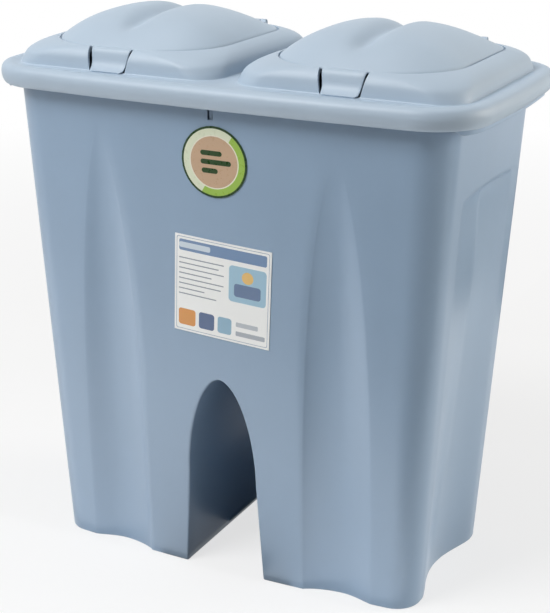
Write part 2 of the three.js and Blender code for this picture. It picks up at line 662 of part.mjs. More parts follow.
/** Half width of a flap at y, where its corners round off. */
function flapHalfWidth(y) {
  const radius = y < FLAP_MID_Y ? FLAP_FRONT_RADIUS : FLAP_BACK_RADIUS;
  const reach = Math.max(Math.abs(y - FLAP_MID_Y) - (FLAP_HALF_DEPTH - radius), 0);
  return FLAP_WIDTH / 2 - radius + Math.sqrt(Math.max(radius ** 2 - reach ** 2, 0));
}

/**
 * Height of the flap's top above its edge: a dome over the whole flap, parted by a soft valley that
 * runs from just behind the finger tab to the back.
 */
function flapRise(across, y) {
  const along = (y - FLAP_MID_Y) / FLAP_HALF_DEPTH;
  const dome = FLAP_RISE * (1 - Math.abs(across) ** 3) * (1 - Math.abs(along) ** 2.6);
  const fade = smoothstep(along, -0.95, -0.5) * (1 - Math.abs(along) ** 4);
  const x = across * flapHalfWidth(y);
  return dome - VALLEY_DEPTH * fade * Math.exp(-((x / VALLEY_SPREAD) ** 2));
}

/** Domed shell of a flap: sections across it, lofted from its front edge to its back edge. */
function flapShell(side) {
  const places = steps(-1, 1, 16).map((t) => Math.sin(t * Math.PI / 2) * 0.25 + t * 0.75);
  const stations = steps(-Math.PI / 2, Math.PI / 2, 16).map(
    (angle) => FLAP_MID_Y + FLAP_HALF_DEPTH * Math.sin(angle));
  const sections = stations.map((y) => {
    const top = places.map((across) => new THREE.Vector3(
      side * HUMP_CENTRE + across * flapHalfWidth(y), y, HUMP_EDGE_Z + flapRise(across, y)));
    const under = top.map((point) => point.clone().setZ(point.z - FLAP_THICKNESS)).reverse();
    return [...top, ...under];
  });
  return solid(loft(sections));
}

/** Finger tab: runs on from the front edge, turns down and flares forward over the cover's rim. */
function fingerTab(side) {
  const footZ = PLATE_Z + TAB_GAP;
  const drop = HUMP_EDGE_Z - footZ;
  const path = [[6, 0.3], [0.5, 0], [-0.2, 0.05], [-0.34, 0.22], [-0.5, 0.67], [-0.92, 0.97], [-1, 1]];
  const widths = [0, 0, 0.05, 0.2, 0.65, 1, 1.25];
  const underside = [[0, -1], [0, -1], [0.3, -1], [0.8, -0.6], [1, -0.3], [0.8, -0.2], [0.8, -0.2]];
  const rings = path.map(([forward, down], i) => {
    const y = FLAP_FRONT_Y + (forward > 0 ? forward : forward * TAB_REACH);
    const z = HUMP_EDGE_Z - down * (i === 0 ? 4 : drop);
    const half = lerp(TAB_TOP_WIDTH, TAB_FOOT_WIDTH, widths[i]) / 2;
    const x = side * HUMP_CENTRE;
    const behind = underside[i].map((share) => share * TAB_THICKNESS);
    return [
      new THREE.Vector3(x - half, y, z), new THREE.Vector3(x, y, z), new THREE.Vector3(x + half, y, z),
      new THREE.Vector3(x + half, y + behind[0], z + behind[1]),
      new THREE.Vector3(x, y + behind[0], z + behind[1]),
      new THREE.Vector3(x - half, y + behind[0], z + behind[1]),
    ];
  });
  return solid(loft(rings));
}

/** Hinge arms at the back of a flap, each with the cross pin that snaps into the cover's lugs. */
function hingeArms(side) {
  const axis = [HINGE_Y, HINGE_Z];
  const root = FLAP_BACK_Y - 3;
  const outline = [
    [root, HUMP_EDGE_Z - FLAP_THICKNESS + 0.2], ...arc(axis, HINGE_ARM_RADIUS, -Math.PI / 2, Math.PI / 2, 8),
    [root, HUMP_EDGE_Z + 1.5],
  ];
  const pinHalf = HINGE_ARM_WIDTH / 2 + HINGE_SIDE_GAP + HINGE_LUG_WIDTH - 0.5;
  const pin = arc(axis, HINGE_PIN_RADIUS, 0, Math.PI * 2, 12).slice(0, -1);
  return hingeArmPlaces(side).map((x) =>
    extrudeAlongX(outline, x - HINGE_ARM_WIDTH / 2, x + HINGE_ARM_WIDTH / 2)
      .add(extrudeAlongX(pin, x - pinHalf, x + pinHalf)));
}

function makeFlap(side) {
  let flap = flapShell(side).add(fingerTab(side));
  for (const arm of hingeArms(side)) flap = flap.add(arm);
  return flap;
}

// ---------------------------------------------------------------- sticker and label

/** A thin paper piece that follows the front wall: its edge as [x, z] pairs round its middle. */
function paperOnWall(centreX, centreZ, edge) {
  const shrink = [0.02, 0.55, 1];
  const layer = (distance, share) => edge.map(([dx, dz]) => {
    const [x, z] = [centreX + dx * share, centreZ + dz * share];
    return new THREE.Vector3(x, -longSideY(tubPlan(z), x) - distance, z);
  });
  const back = shrink.map((share) => layer(PAPER_GAP, share));
  const front = shrink.slice().reverse().map((share) => layer(PAPER_GAP + PAPER_THICKNESS, share));
  return solid(loft([...back, ...front]));
}

function makeRoundSticker() {
  const edge = arc([0, 0], STICKER_DIAMETER / 2, 0, Math.PI * 2, 32).slice(0, -1);
  return paperOnWall(STICKER_X, TUB_HEIGHT - STICKER_BELOW_RIM, edge);
}

function makeLabel() {
  const turn = THREE.MathUtils.degToRad(LABEL_TURN_DEGREES);
  const corners = { x0: -LABEL_WIDTH / 2, x1: LABEL_WIDTH / 2, y0: -LABEL_HEIGHT / 2, y1: LABEL_HEIGHT / 2 };
  const square = [
    ...steps(corners.x0, corners.x1, 6).slice(0, -1).map((x) => [x, corners.y0]),
    ...steps(corners.y0, corners.y1, 4).slice(0, -1).map((z) => [corners.x1, z]),
    ...steps(corners.x1, corners.x0, 6).slice(0, -1).map((x) => [x, corners.y1]),
    ...steps(corners.y1, corners.y0, 4).slice(0, -1).map((z) => [corners.x0, z]),
  ];
  const edge = square.map(([x, z]) => [
    x * Math.cos(turn) - z * Math.sin(turn), x * Math.sin(turn) + z * Math.cos(turn)]);
  return paperOnWall(LABEL_X, TUB_HEIGHT - LABEL_BELOW_RIM, edge);
}

// ---------------------------------------------------------------- assembly

const plastic = (color, roughness) =>
  new THREE.MeshStandardMaterial({ color, roughness, metalness: 0 });
const tubPlastic = plastic(0x8fa5bd, 0.42);
const coverPlastic = plastic(0xb9cbdb, 0.4);
const dividerPlastic = plastic(0x8fa5bd, 0.5);
const stickerPaper = plastic(0xb7c98a, 0.5);
const labelPaper = plastic(0xf1f2ee, 0.55);

/** A named mesh from a solid, with flat facets. */
function part(name, body, material) {
  const { numProp, vertProperties, triVerts } = body.getMesh();
  const geometry = new THREE.BufferGeometry();
  const corners = new Float32Array(triVerts.length * 3);
  triVerts.forEach((vertex, i) => {
    corners.set(vertProperties.subarray(vertex * numProp, vertex * numProp + 3), i * 3);
  });
  geometry.setAttribute('position', new THREE.BufferAttribute(corners, 3));
  geometry.computeVertexNormals();
  const mesh = new THREE.Mesh(geometry, material);
  mesh.name = name;
  return mesh;
}

const bin = new THREE.Group();
bin.add(
  part('tub', makeTub(), tubPlastic),
  part('divider_panel', makeDivider(), dividerPlastic),
  part('cover', makeCover(), coverPlastic),
  part('left_flap', makeFlap(-1), coverPlastic),
  part('right_flap', makeFlap(1), coverPlastic),
  part('round_sticker', makeRoundSticker(), stickerPaper),
  part('front_label', makeLabel(), labelPaper),
);

export default bin;
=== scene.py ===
"""The double recycling bin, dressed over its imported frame: fine moulded shells, hinged flaps,
printed sticker and label, and a studio. Shapes are worked out in millimetres and made in metres."""

import math

import bmesh
import bpy
from mathutils import Matrix, Vector


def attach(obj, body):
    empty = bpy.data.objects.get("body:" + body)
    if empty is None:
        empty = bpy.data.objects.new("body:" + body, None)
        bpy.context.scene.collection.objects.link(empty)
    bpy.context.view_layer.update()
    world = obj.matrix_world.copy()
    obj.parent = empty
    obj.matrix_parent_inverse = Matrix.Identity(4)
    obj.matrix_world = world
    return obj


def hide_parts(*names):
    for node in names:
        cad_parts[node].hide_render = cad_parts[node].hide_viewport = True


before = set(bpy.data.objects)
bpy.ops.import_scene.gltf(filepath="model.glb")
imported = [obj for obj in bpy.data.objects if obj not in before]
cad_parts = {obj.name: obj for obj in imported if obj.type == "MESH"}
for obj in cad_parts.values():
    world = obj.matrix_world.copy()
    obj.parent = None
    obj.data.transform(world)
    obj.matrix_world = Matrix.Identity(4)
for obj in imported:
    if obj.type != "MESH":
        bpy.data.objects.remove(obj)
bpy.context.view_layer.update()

MM = 0.001
WELD = 1e-7

# ------------------------------------------------------------------ sizes in millimetres
# As in the part's source, but for the flutes' edges, the pocket at the top of the end hollows
# and the wider slot, which are the scene's own.

TUB_HEIGHT = 536.0
FOOT_WIDTH, FOOT_DEPTH, FOOT_CORNER, FOOT_EDGE = 431.0, 231.0, 28.0, 1.4
RIM_WIDTH, RIM_DEPTH, RIM_CORNER = 490.0, 281.0, 38.0
LONG_BOW, SHORT_BOW = 7.0, 0.5
TUB_WALL = 2.4
FLOOR_TOP = 4.6
FOOT_RING, FOOT_RECESS = 12.0, 1.6
FLUTE_X, FLUTE_HALF, FLUTE_DEPTH, FLUTE_TIP = 133.0, 39.0, 10.0, 482.0
FLUTE_SOFT_INSIDE, FLUTE_SOFT_OUTSIDE, FLUTE_NARROWEST = 0.85, 1.5, 0.06
CHANNEL_HALF, CHANNEL_DEPTH, CHANNEL_TOP_SHARE, CHANNEL_TOP = 74.0, 16.0, 0.22, 440.0
CHANNEL_LEDGE, CHANNEL_SOFT = 6.0, 1.5
POCKET_DEPTH, POCKET_REACH = 5.5, 110.0
TUNNEL_FOOT, TUNNEL_SPRING, SPRING_Z, CROWN_Z = 93.0, 79.5, 115.0, 228.0
TUNNEL_EDGE, ARCH_POWER = 2.4, 1.85
FLANGE, FLANGE_PLAY = 2.4, 1.6
GRIP_LIP, FRONT_LIP = 23.0, 9.0
RIB_WIDTH, RIB_HEIGHT, RIB_SHORTFALL, GROOVE_HALF = 2.0, 5.0, 8.0, 1.9
SLOT_HALF, SLOT_LOW, SLOT_HIGH = 2.9, 506.5, 523.5

SKIRT_WIDTH, SKIRT_DEPTH, SKIRT_CORNER = 540.0, 304.0, 60.0
SKIRT_LONG_BOW, SKIRT_SHORT_BOW = 6.0, 3.0
SKIRT_Z, PLATE_UNDER_Z, PLATE_Z = 519.0, 536.3, 538.7
COVER_WALL = 2.4
HUMP_X, HUMP_WIDTH, HUMP_DEPTH, HUMP_RADIUS = 129.0, 242.0, 242.0, 34.0
HUMP_RISE, HUMP_EDGE_WIDTH = 23.3, 1.6
HUMP_EDGE_Z = PLATE_Z + HUMP_RISE
SHELF_TOP_Z, SHELF_UNDER_Z, SHELF_WIDTH = 559.3, 556.9, 5.0

FLAP_WIDTH, FLAP_FRONT, FLAP_BACK = 192.0, -108.0, 98.5
FLAP_RADII = (70.0, 36.0)
FLAP_THICKNESS, FLAP_RISE = 2.4, 30.5
SIDE_GAP, FRONT_GAP, BACK_GAP = 2.0, 0.6, 2.7
VALLEY_DEPTH, VALLEY_SPREAD = 10.0, 13.0
DOME_POWER_X, DOME_POWER_Y = 3, 2.6
TAB_TOP, TAB_FOOT, TAB_THICKNESS, TAB_GAP = 46.0, 38.0, 2.4, 1.0
NOTCH_TOP, NOTCH_FOOT = 52.0, 42.0
CUT_REACH = 20.0
HINGE_Y, HINGE_Z = 103.0, 563.0
ARM_SPACING, ARM_WIDTH, ARM_RADIUS, PIN_RADIUS = 110.0, 10.0, 3.8, 2.4
BORE_CLEARANCE, LUG_WIDTH, LUG_RADIUS, ARM_SIDE_GAP = 0.35, 5.5, 4.0, 1.0

STICKER_PLACE = (3.3, 464.2)
LABEL_PLACE, LABEL_TURN = (7.4, 329.0), math.radians(-3.1)


# ------------------------------------------------------------------ small helpers

def lerp(a, b, t):
    return a + (b - a) * t


def steps(a, b, count):
    return [lerp(a, b, i / count) for i in range(count + 1)]


def smoothstep(value, low, high):
    t = min(max((value - low) / (high - low), 0.0), 1.0)
    return t * t * (3 - 2 * t)


def smooth_path(points, per_span):
    """Points along a smooth curve through the given points."""
    out = []
    for i in range(len(points) - 1):
        p0 = points[max(i - 1, 0)]
        p1, p2 = points[i], points[i + 1]
        p3 = points[min(i + 2, len(points) - 1)]
        for k in range(per_span):
            t = k / per_span
            out.append(tuple(
                0.5 * (2 * b + (c - a) * t + (2 * a - 5 * b + 4 * c - d) * t * t
                       + (3 * b - a - 3 * c + d) * t ** 3)
                for a, b, c, d in zip(p0, p1, p2, p3)))
    out.append(tuple(points[-1]))
    return out


class Shell:
    """Collects points in millimetres and faces, then makes one mesh of them."""

    def __init__(self):
        self.points = []
        self.faces = []

    def ring(self, points):
        start = len(self.points)
        self.points.extend(tuple(p) for p in points)
        return list(range(start, start + len(points)))

    def strip(self, a, b, closed):
        count = len(a)
        for i in range(count if closed else count - 1):
            j = (i + 1) % count
            self.faces.append((a[i], a[j], b[j], b[i]))

    def loft(self, rings, closed=True):
        loops = [self.ring(r) for r in rings]
        for a, b in zip(loops, loops[1:]):
            self.strip(a, b, closed)
        return loops

    def cap(self, loop):
        self.faces.append(tuple(loop))

    def plate(self, *loops):
        """Flat faces between an outer loop and the loops of its holes."""
        bm = bmesh.new()
        back = {}
        edges = []
        for loop in loops:
            verts = []
            for index in loop:
                vert = bm.verts.new(self.points[index])
                back[vert] = index
                verts.append(vert)
            edges += [bm.edges.new(pair) for pair in zip(verts, verts[1:] + verts[:1])]
        made = bmesh.ops.triangle_fill(bm, use_beauty=True, use_dissolve=False, edges=edges)
        for face in made["geom"]:
            if isinstance(face, bmesh.types.BMFace):
                self.faces.append(tuple(back[v] for v in face.verts))
        bm.free()

    def mesh(self, name):
        bm = bmesh.new()
        verts = [bm.verts.new(Vector(p) * MM) for p in self.points]
        for face in self.faces:
            distinct = list(dict.fromkeys(face))
            if len(distinct) > 2:
                try:
                    bm.faces.new([verts[i] for i in distinct])
                except ValueError:
                    pass  # the face is there already
        bmesh.ops.remove_doubles(bm, verts=bm.verts, dist=WELD)
        bmesh.ops.dissolve_degenerate(bm, edges=bm.edges, dist=WELD)
        bmesh.ops.recalc_face_normals(bm, faces=bm.faces)
        if bm.calc_volume(signed=True) < 0:
            bmesh.ops.reverse_faces(bm, faces=bm.faces)
        mesh = bpy.data.meshes.new(name)
        bm.to_mesh(mesh)
        bm.free()
        return mesh


def piece(name, data):
    obj = bpy.data.objects.new(name, data)
    bpy.context.scene.collection.objects.link(obj)
    return obj


def apply_boolean(obj, cutter_mesh, operation):
    """Cuts or joins a closed mesh into an object, for good."""
    cutter = piece("cutter", cutter_mesh)
    modifier = obj.modifiers.new("boolean", "BOOLEAN")
    modifier.operation = operation
    modifier.solver = "EXACT"
    modifier.object = cutter
    evaluated = obj.evaluated_get(bpy.context.evaluated_depsgraph_get())
    made = bpy.data.meshes.new_from_object(evaluated)
    obj.modifiers.clear()
    obj.data = made
    bpy.data.objects.remove(cutter)


def join_shells(shells, name):
    whole = Shell()
    for shell in shells:
        start = len(whole.points)
        whole.points += shell.points
        whole.faces += [tuple(i + start for i in face) for face in shell.faces]
    return whole.mesh(name)


def prism(ends):
    """Closed prism between its two end outlines."""
    shell = Shell()
    for loop in shell.loft(ends):
        shell.cap(loop)
    return shell


def prism_x(outline, x0, x1):
    """Closed prism of a (y, z) outline between x0 and x1."""
    return prism([[(x, y, z) for y, z in outline] for x in (x0, x1)])


def prism_y(outline, y0, y1):
    """Closed prism of an (x, z) outline between y0 and y1."""
    return prism([[(x, y, z) for x, z in outline] for y in (y0, y1)])


def box(x0, x1, y0, y1, z0, z1):
    return prism_x([(y0, z0), (y1, z0), (y1, z1), (y0, z1)], x0, x1)


def circle(centre, radius, start, end, count):
    """Arc from the start angle to the end angle, both ends included."""
    return [(centre[0] + radius * math.cos(a), centre[1] + radius * math.sin(a))
            for a in steps(start, end, count)]


def smooth_shade(obj, degrees):
    """Smooth shading that stays sharp at edges folded by more than so many degrees."""
    mesh = obj.data
    for polygon in mesh.polygons:
        polygon.use_smooth = True
    mesh.set_sharp_from_angle(angle=math.radians(degrees))


# ------------------------------------------------------------------ plans

class Plan:
    """Rounded rectangle with bowed sides, centred on the origin."""

    def __init__(self, width, depth, radius, long_bow, short_bow, offset=0.0):
        self.half_x = width / 2 + offset
        self.half_y = depth / 2 + offset
        self.radius = radius + offset
        self.long_bow, self.short_bow = long_bow, short_bow
        self.long_slope = math.atan(2 * long_bow / self.half_x)
        self.short_slope = math.atan(2 * short_bow / self.half_y)
        self.centre_x = self.half_x - short_bow - self.radius * math.cos(self.short_slope)
        self.centre_y = self.half_y - long_bow - self.radius * math.cos(self.long_slope)
        self.end_x = self.centre_x + self.radius * math.sin(self.long_slope)
        self.end_y = self.centre_y + self.radius * math.sin(self.short_slope)

    def long_y(self, x):
        return self.half_y - self.long_bow * (x / self.end_x) ** 2

    def short_x(self, y):
        return self.half_x - self.short_bow * (y / self.end_y) ** 2

    def corner(self, t):
        """Point of the right front corner, t from the front to the right end."""
        angle = lerp(-math.pi / 2 + self.long_slope, -self.short_slope, t)
        return (self.centre_x + self.radius * math.cos(angle),
                -self.centre_y + self.radius * math.sin(angle))

    def right_half(self, fronts, corners, sides):
        """Half outline at x >= 0, front to back. Fronts and sides are pairs of share and inset."""
        points = [(s * self.end_x, -self.long_y(s * self.end_x) + inset) for s, inset in fronts]
        points += [self.corner(t) for t in corners]
        points += [(self.short_x(s * self.end_y) - inset, s * self.end_y) for s, inset in sides]
        points += [(x, -y) for x, y in (self.corner(t) for t in reversed(corners))]
        points += [(s * self.end_x, self.long_y(s * self.end_x) - inset)
                   for s, inset in reversed(fronts)]
        return points


def inset_line(points, distance, closed):
    """Moves an outline inward, square to itself. The outline runs counter-clockwise from above."""
    count = len(points)
    out = []
    for i, (x, y) in enumerate(points):
        before = points[(i - 1) % count] if closed or i > 0 else points[i]
        after = points[(i + 1) % count] if closed or i < count - 1 else points[i]
        dx, dy = after[0] - before[0], after[1] - before[1]
        length = math.hypot(dx, dy) or 1.0
        out.append((x - dy / length * distance, y + dx / length * distance))
    return out


def rectangle(x0, x1, y0, y1, radii, inset=0.0, corner_steps=14, side_steps=8):
    """Closed outline of a rectangle rounded with a radius at the front and one at the back,
    counter-clockwise, its straight sides divided too."""
    front, back = (max(radius - inset, 0.5) for radius in radii)
    x0, x1, y0, y1 = x0 + inset, x1 - inset, y0 + inset, y1 - inset
    corners = [(x1 - front, y0 + front, front), (x1 - back, y1 - back, back),
               (x0 + back, y1 - back, back), (x0 + front, y0 + front, front)]
    arcs = [circle((x, y), radius, (i - 1) * math.pi / 2, i * math.pi / 2, corner_steps)
            for i, (x, y, radius) in enumerate(corners)]
    points = []
    for i, arc in enumerate(arcs):
        points += arc
        follow = arcs[(i + 1) % 4][0]
        points += [(lerp(arc[-1][0], follow[0], t), lerp(arc[-1][1], follow[1], t))
                   for t in steps(0, 1, side_steps)[1:-1]]
    return points


# ------------------------------------------------------------------ tub

CORNER_STEPS = [i / 16 for i in range(17)]
EDGE_STEPS = [0, 0.3, 0.7, 1.2, 1.8, 2.5, 3.4, 4.6, 6.2, 8.4, 11.4, 15.4]
FLUTE_STEPS = [math.sin(t * math.pi / 2) * 0.6 + t * 0.4 for t in steps(-1, 1, 30)]
CHANNEL_STEPS = [math.sin(t * math.pi / 2) * 0.5 + t * 0.5 for t in steps(-1, 1, 32)]
TUNNEL_STEPS = 14
TUB_FOLD, COVER_FOLD, FLAP_FOLD = 38, 32, 40  # degrees from which an edge stays sharp


def tub_plan(z):
    t = z / TUB_HEIGHT
    return Plan(lerp(FOOT_WIDTH, RIM_WIDTH, t), lerp(FOOT_DEPTH, RIM_DEPTH, t),
                lerp(FOOT_CORNER, RIM_CORNER, t), LONG_BOW, SHORT_BOW)


def hollow(across, softness):
    """Profile of a hollow, 1 in its middle and 0 at -1 and 1. More softness gives gentler edges."""
    return max(1 - across * across, 0.0) ** softness


def flute_share(z):
    """How much of a flute's width is left at height z."""
    return (1 - min(z / FLUTE_TIP, 1.0) ** 3) ** 0.7


def channel_depth(z):
    taper = lerp(1, CHANNEL_TOP_SHARE, z / CHANNEL_TOP)
    pocket = POCKET_DEPTH * smoothstep(z, CHANNEL_TOP - POCKET_REACH, CHANNEL_TOP)
    return (CHANNEL_DEPTH * taper + pocket) * smoothstep(CHANNEL_TOP - z, 0, CHANNEL_LEDGE)


def tunnel_half(z):
    if z <= SPRING_Z:
        return lerp(TUNNEL_FOOT, TUNNEL_SPRING, z / SPRING_Z) / 2
    rise = min((z - SPRING_Z) / (CROWN_Z - SPRING_Z), 1.0)
    return TUNNEL_SPRING / 2 * max(1 - rise ** ARCH_POWER, 0.0) ** (1 / ARCH_POWER)


def arch_levels(count):
    """Heights from the arch's spring to its crown, closer together towards the crown."""
    return [SPRING_Z + (CROWN_Z - SPRING_Z) * math.sin(a)
            for a in steps(0, math.pi / 2, count)[1:]]


ARCH = [(tunnel_half(z), z) for z in [SPRING_Z * t for t in steps(0, 1, 20)] + arch_levels(90)]


def arch_distance(x, z):
    """Distance of a point of the front wall from the tunnel's edge."""
    best = 1e9
    for (ax, az), (bx, bz) in zip(ARCH, ARCH[1:]):
        dx, dz = bx - ax, bz - az
        t = ((x - ax) * dx + (z - az) * dz) / (dx * dx + dz * dz)
        t = min(max(t, 0.0), 1.0)
        best = min(best, math.hypot(x - ax - t * dx, z - az - t * dz))
    return best


def quarter_round(distance, radius):
    """How far a rounded edge of this radius has dropped, at a distance from the edge."""
    if distance >= radius:
        return 0.0
    return radius - math.sqrt(max(radius ** 2 - (radius - distance) ** 2, 0.0))


def tub_stations(z, start):
    """Fronts and sides of the tub's outline at height z, as shares of its plan and insets."""
    plan = tub_plan(z)
    share = flute_share(z)
    half = FLUTE_HALF * max(share, FLUTE_NARROWEST)
    depth = FLUTE_DEPTH * share ** 2

    def flute_inset(t):
        return depth * hollow(t, FLUTE_SOFT_INSIDE if t < 0 else FLUTE_SOFT_OUTSIDE)

    xs = [(start + d, 0.0) for d in EDGE_STEPS]
    xs += [(x, 0.0) for x in steps(xs[-1][0], FLUTE_X - half, 8)[1:]]
    xs += [(FLUTE_X + t * half, flute_inset(t)) for t in FLUTE_STEPS[1:]]
    xs += [(x, 0.0) for x in steps(FLUTE_X + half, plan.end_x, 5)[1:-1]]
    fronts = [(x / plan.end_x, inset) for x, inset in xs]
    crease = min(z / CHANNEL_TOP, 1.0)
    ys = [(y, 0.0) for y in steps(-plan.end_y, -CHANNEL_HALF, 4)[1:-1]]
    deep = channel_depth(z)
    ys += [(t * CHANNEL_HALF, deep * lerp(hollow(t, CHANNEL_SOFT), 1 - abs(t), crease))
           for t in CHANNEL_STEPS]
    ys += [(y, 0.0) for y in steps(CHANNEL_HALF, plan.end_y, 4)[1:-1]]
    sides = [(y / plan.end_y, inset) for y, inset in ys]
    return plan, fronts, sides


def tub_half_line(z, start):
    plan, fronts, sides = tub_stations(z, start)
    return plan.right_half(fronts, CORNER_STEPS, sides)


def closed_with_tunnel(line):
    """Closes a half outline with the tunnel's wall, from its back end to its front end."""
    (x, back), front = line[-1], line[0][1]
    return line + [(x, y) for y in steps(back, front, TUNNEL_STEPS)[1:-1]]


def unturned(points):
    return points


def turned(points):
    """Half a turn about the upright axis, which makes the left half from the right one."""
    return [(-x, -y, z) for x, y, z in points]


def at(line, z):
    return [(x, y, z) for x, y in line]


def outer_line(z):
    """Outside of the right half at height z, its edge at the tunnel rounded."""
    start = tunnel_half(z) if z < CROWN_Z else 0.0
    line = tub_half_line(z, start)
    count = len(EDGE_STEPS)
    for index in list(range(count)) + list(range(len(line) - count, len(line))):
        x, y = line[index]
        drop = quarter_round(arch_distance(x, z), TUNNEL_EDGE)
        line[index] = (x, y + drop if y < 0 else y - drop)
    return line


def below_crown(place):
    """Rings round the outside of a leg, from the floor to the tunnel's crown."""
    low = [0, 0.25, 0.7, FOOT_EDGE] + steps(FOOT_EDGE, SPRING_Z, 9)[1:]
    rings = []
    for z in low + arch_levels(40):
        loop = closed_with_tunnel(outer_line(z))
        rings.append(place(at(inset_line(loop, quarter_round(z, FOOT_EDGE), True), z)))
    return rings


def above_crown(place):
    """Lines across the outside of a half, from the tunnel's crown to the flange."""
    levels = [CROWN_Z + d for d in (0.3, 0.8, 1.4, 2.2, 3.4, 5.5, 9)]
    levels += steps(levels[-1], CHANNEL_TOP - CHANNEL_LEDGE, 14)[1:]
    levels += steps(CHANNEL_TOP - CHANNEL_LEDGE, CHANNEL_TOP, 8)[1:]
    levels += steps(CHANNEL_TOP, FLUTE_TIP, 10)[1:]
    levels += steps(FLUTE_TIP, TUB_HEIGHT - FLANGE, 5)[1:]
    return [place(at(outer_line(z), z)) for z in levels]


def flange_rows(place):
    """Lines round the flange, its hanging lip and the rim's top, ending on the inner wall."""
    _, fronts, sides = tub_stations(TUB_HEIGHT, 0.0)
    bare = [(s, 0.0) for s, _ in fronts], [(s, 0.0) for s, _ in sides]

    def flange_line(offset):
        plan = Plan(SKIRT_WIDTH, SKIRT_DEPTH, SKIRT_CORNER, SKIRT_LONG_BOW, SKIRT_SHORT_BOW,
                    offset - COVER_WALL - FLANGE_PLAY)
        return plan.right_half(bare[0], CORNER_STEPS, bare[1])

    # The lip hangs low where the rim runs from front to back, at the bin's ends
    base = flange_line(0)
    lip_heights = []
    for i in range(len(base)):
        before, after = base[max(i - 1, 0)], base[min(i + 1, len(base) - 1)]
        dx, dy = after[0] - before[0], after[1] - before[1]
        along_end = smoothstep(abs(dy) / math.hypot(dx, dy), 0.5, 0.85)
        lip_heights.append(lerp(FRONT_LIP, GRIP_LIP, along_end))

    def lip(offset, up):
        return place([(x, y, TUB_HEIGHT - height + up)
                      for (x, y), height in zip(flange_line(offset), lip_heights)])

    def level_row(offset, down):
        return place(at(flange_line(offset), TUB_HEIGHT - down))

    under = TUB_HEIGHT - FLANGE
    rows = [place(at(flange_line(-FLANGE - 1.5), under)),
            place(at(flange_line(-FLANGE), under - 1.0)),
            lip(-FLANGE, 0.5), lip(-FLANGE + 0.5, 0.0), lip(-0.6, 0.0), lip(0.0, 0.6),
            level_row(0.0, 0.8), level_row(-0.25, 0.2), level_row(-0.8, 0.0)]
    wall_top = tub_half_line(TUB_HEIGHT, 0.0)
    for short_of_wall, down in ((0.7, 0.0), (0.2, 0.25), (0.0, 0.9)):
        inner_edge = inset_line(wall_top, TUB_WALL - short_of_wall, False)
        rows.append(place(at(inner_edge, TUB_HEIGHT - down)))
    return rows


INNER_CROWN = CROWN_Z + TUB_WALL


def inner_above_crown(place):
    """Lines across the inside of a half, from the rim down to the tunnel's crown."""
    levels = steps(TUB_HEIGHT - 6, CHANNEL_TOP, 8)
    levels += steps(CHANNEL_TOP, CHANNEL_TOP - CHANNEL_LEDGE, 4)[1:]
    levels += steps(CHANNEL_TOP - CHANNEL_LEDGE, INNER_CROWN, 12)[1:]
    return [place(at(inset_line(tub_half_line(z, 0.0), TUB_WALL, False), z)) for z in levels]


def inner_below_crown(place):
    """Rings round the inside of a leg, from the tunnel's crown down to the floor."""
    scale = INNER_CROWN / CROWN_Z

    def inner_loop(z):
        outside_z = z / scale
        start = tunnel_half(outside_z) + TUB_WALL * (1 - (outside_z / CROWN_Z) ** 12)
        line = inset_line(tub_half_line(z, start), TUB_WALL, False)
        line[0] = (start, line[0][1])
        line[-1] = (start, line[-1][1])
        return closed_with_tunnel(line)

    levels = [SPRING_Z + (INNER_CROWN - SPRING_Z) * math.sin(a)
              for a in steps(math.pi / 2, 0, 22)]
    levels += steps(SPRING_Z, FLOOR_TOP + 3, 7)[1:] + [FLOOR_TOP + 1.2]
    rings = [at(inner_loop(z), z) for z in levels]
    rings.append(at(inset_line(inner_loop(FLOOR_TOP), 1.5, True), FLOOR_TOP))
    return [place(ring) for ring in rings]


def add_tub_half(shell, place):
    outside = shell.loft(below_crown(place))
    upper = shell.loft(above_crown(place), closed=False)
    count = len(upper[0])
    shell.strip(outside[-1][:count], upper[0], False)
    flange = shell.loft(flange_rows(place), closed=False)
    shell.strip(upper[-1], flange[0], False)
    inner = shell.loft(inner_above_crown(place), closed=False)
    shell.strip(flange[-1], inner[0], False)
    inside = shell.loft(inner_below_crown(place))
    shell.strip(inner[-1], inside[0][:count], False)
    shell.plate(inside[-1])
    # Underside: standing ring and its shallow recess
    recess = rectangle(TUNNEL_FOOT / 2 + FOOT_RING, FOOT_WIDTH / 2 - CHANNEL_DEPTH - FOOT_RING,
                       -FOOT_DEPTH / 2 + FLUTE_DEPTH + FOOT_RING,
                       FOOT_DEPTH / 2 - FLUTE_DEPTH - FOOT_RING, (FOOT_CORNER / 2,) * 2)
    recess_loops = shell.loft([place(at(recess, 0)),
                               place(at(inset_line(recess, 0.5, True), FOOT_RECESS))])
    shell.plate(outside[0], recess_loops[0])
    shell.plate(recess_loops[1])


def make_tub():
    shell = Shell()
    add_tub_half(shell, unturned)
    add_tub_half(shell, turned)
    obj = piece("tub_shell", shell.mesh("tub_shell"))
    ribs = []
    for side in (-1, 1):
        low_y = tub_plan(CROWN_Z).half_y - TUB_WALL / 2
        high_z = TUB_HEIGHT - RIB_SHORTFALL
        high_y = tub_plan(high_z).half_y - TUB_WALL / 2
        outline = [(side * low_y, CROWN_Z + 0.4), (side * (low_y - RIB_HEIGHT), CROWN_Z + 0.4),
                   (side * (high_y - RIB_HEIGHT), high_z), (side * high_y, high_z)]
        for x in (-GROOVE_HALF - RIB_WIDTH, GROOVE_HALF):
            ribs.append(prism_x(outline, x, x + RIB_WIDTH))
    apply_boolean(obj, join_shells(ribs, "ribs"), "UNION")
    slots = []
    for side in (-1, 1):
        inside = side * (tub_plan(SLOT_LOW).half_y - TUB_WALL * 2)
        outside = side * (RIM_DEPTH / 2 + CUT_REACH)
        slots.append(box(-SLOT_HALF, SLOT_HALF, min(inside, outside), max(inside, outside),
                         SLOT_LOW, SLOT_HIGH))
    apply_boolean(obj, join_shells(slots, "slots"), "DIFFERENCE")
    smooth_shade(obj, TUB_FOLD)
    return obj


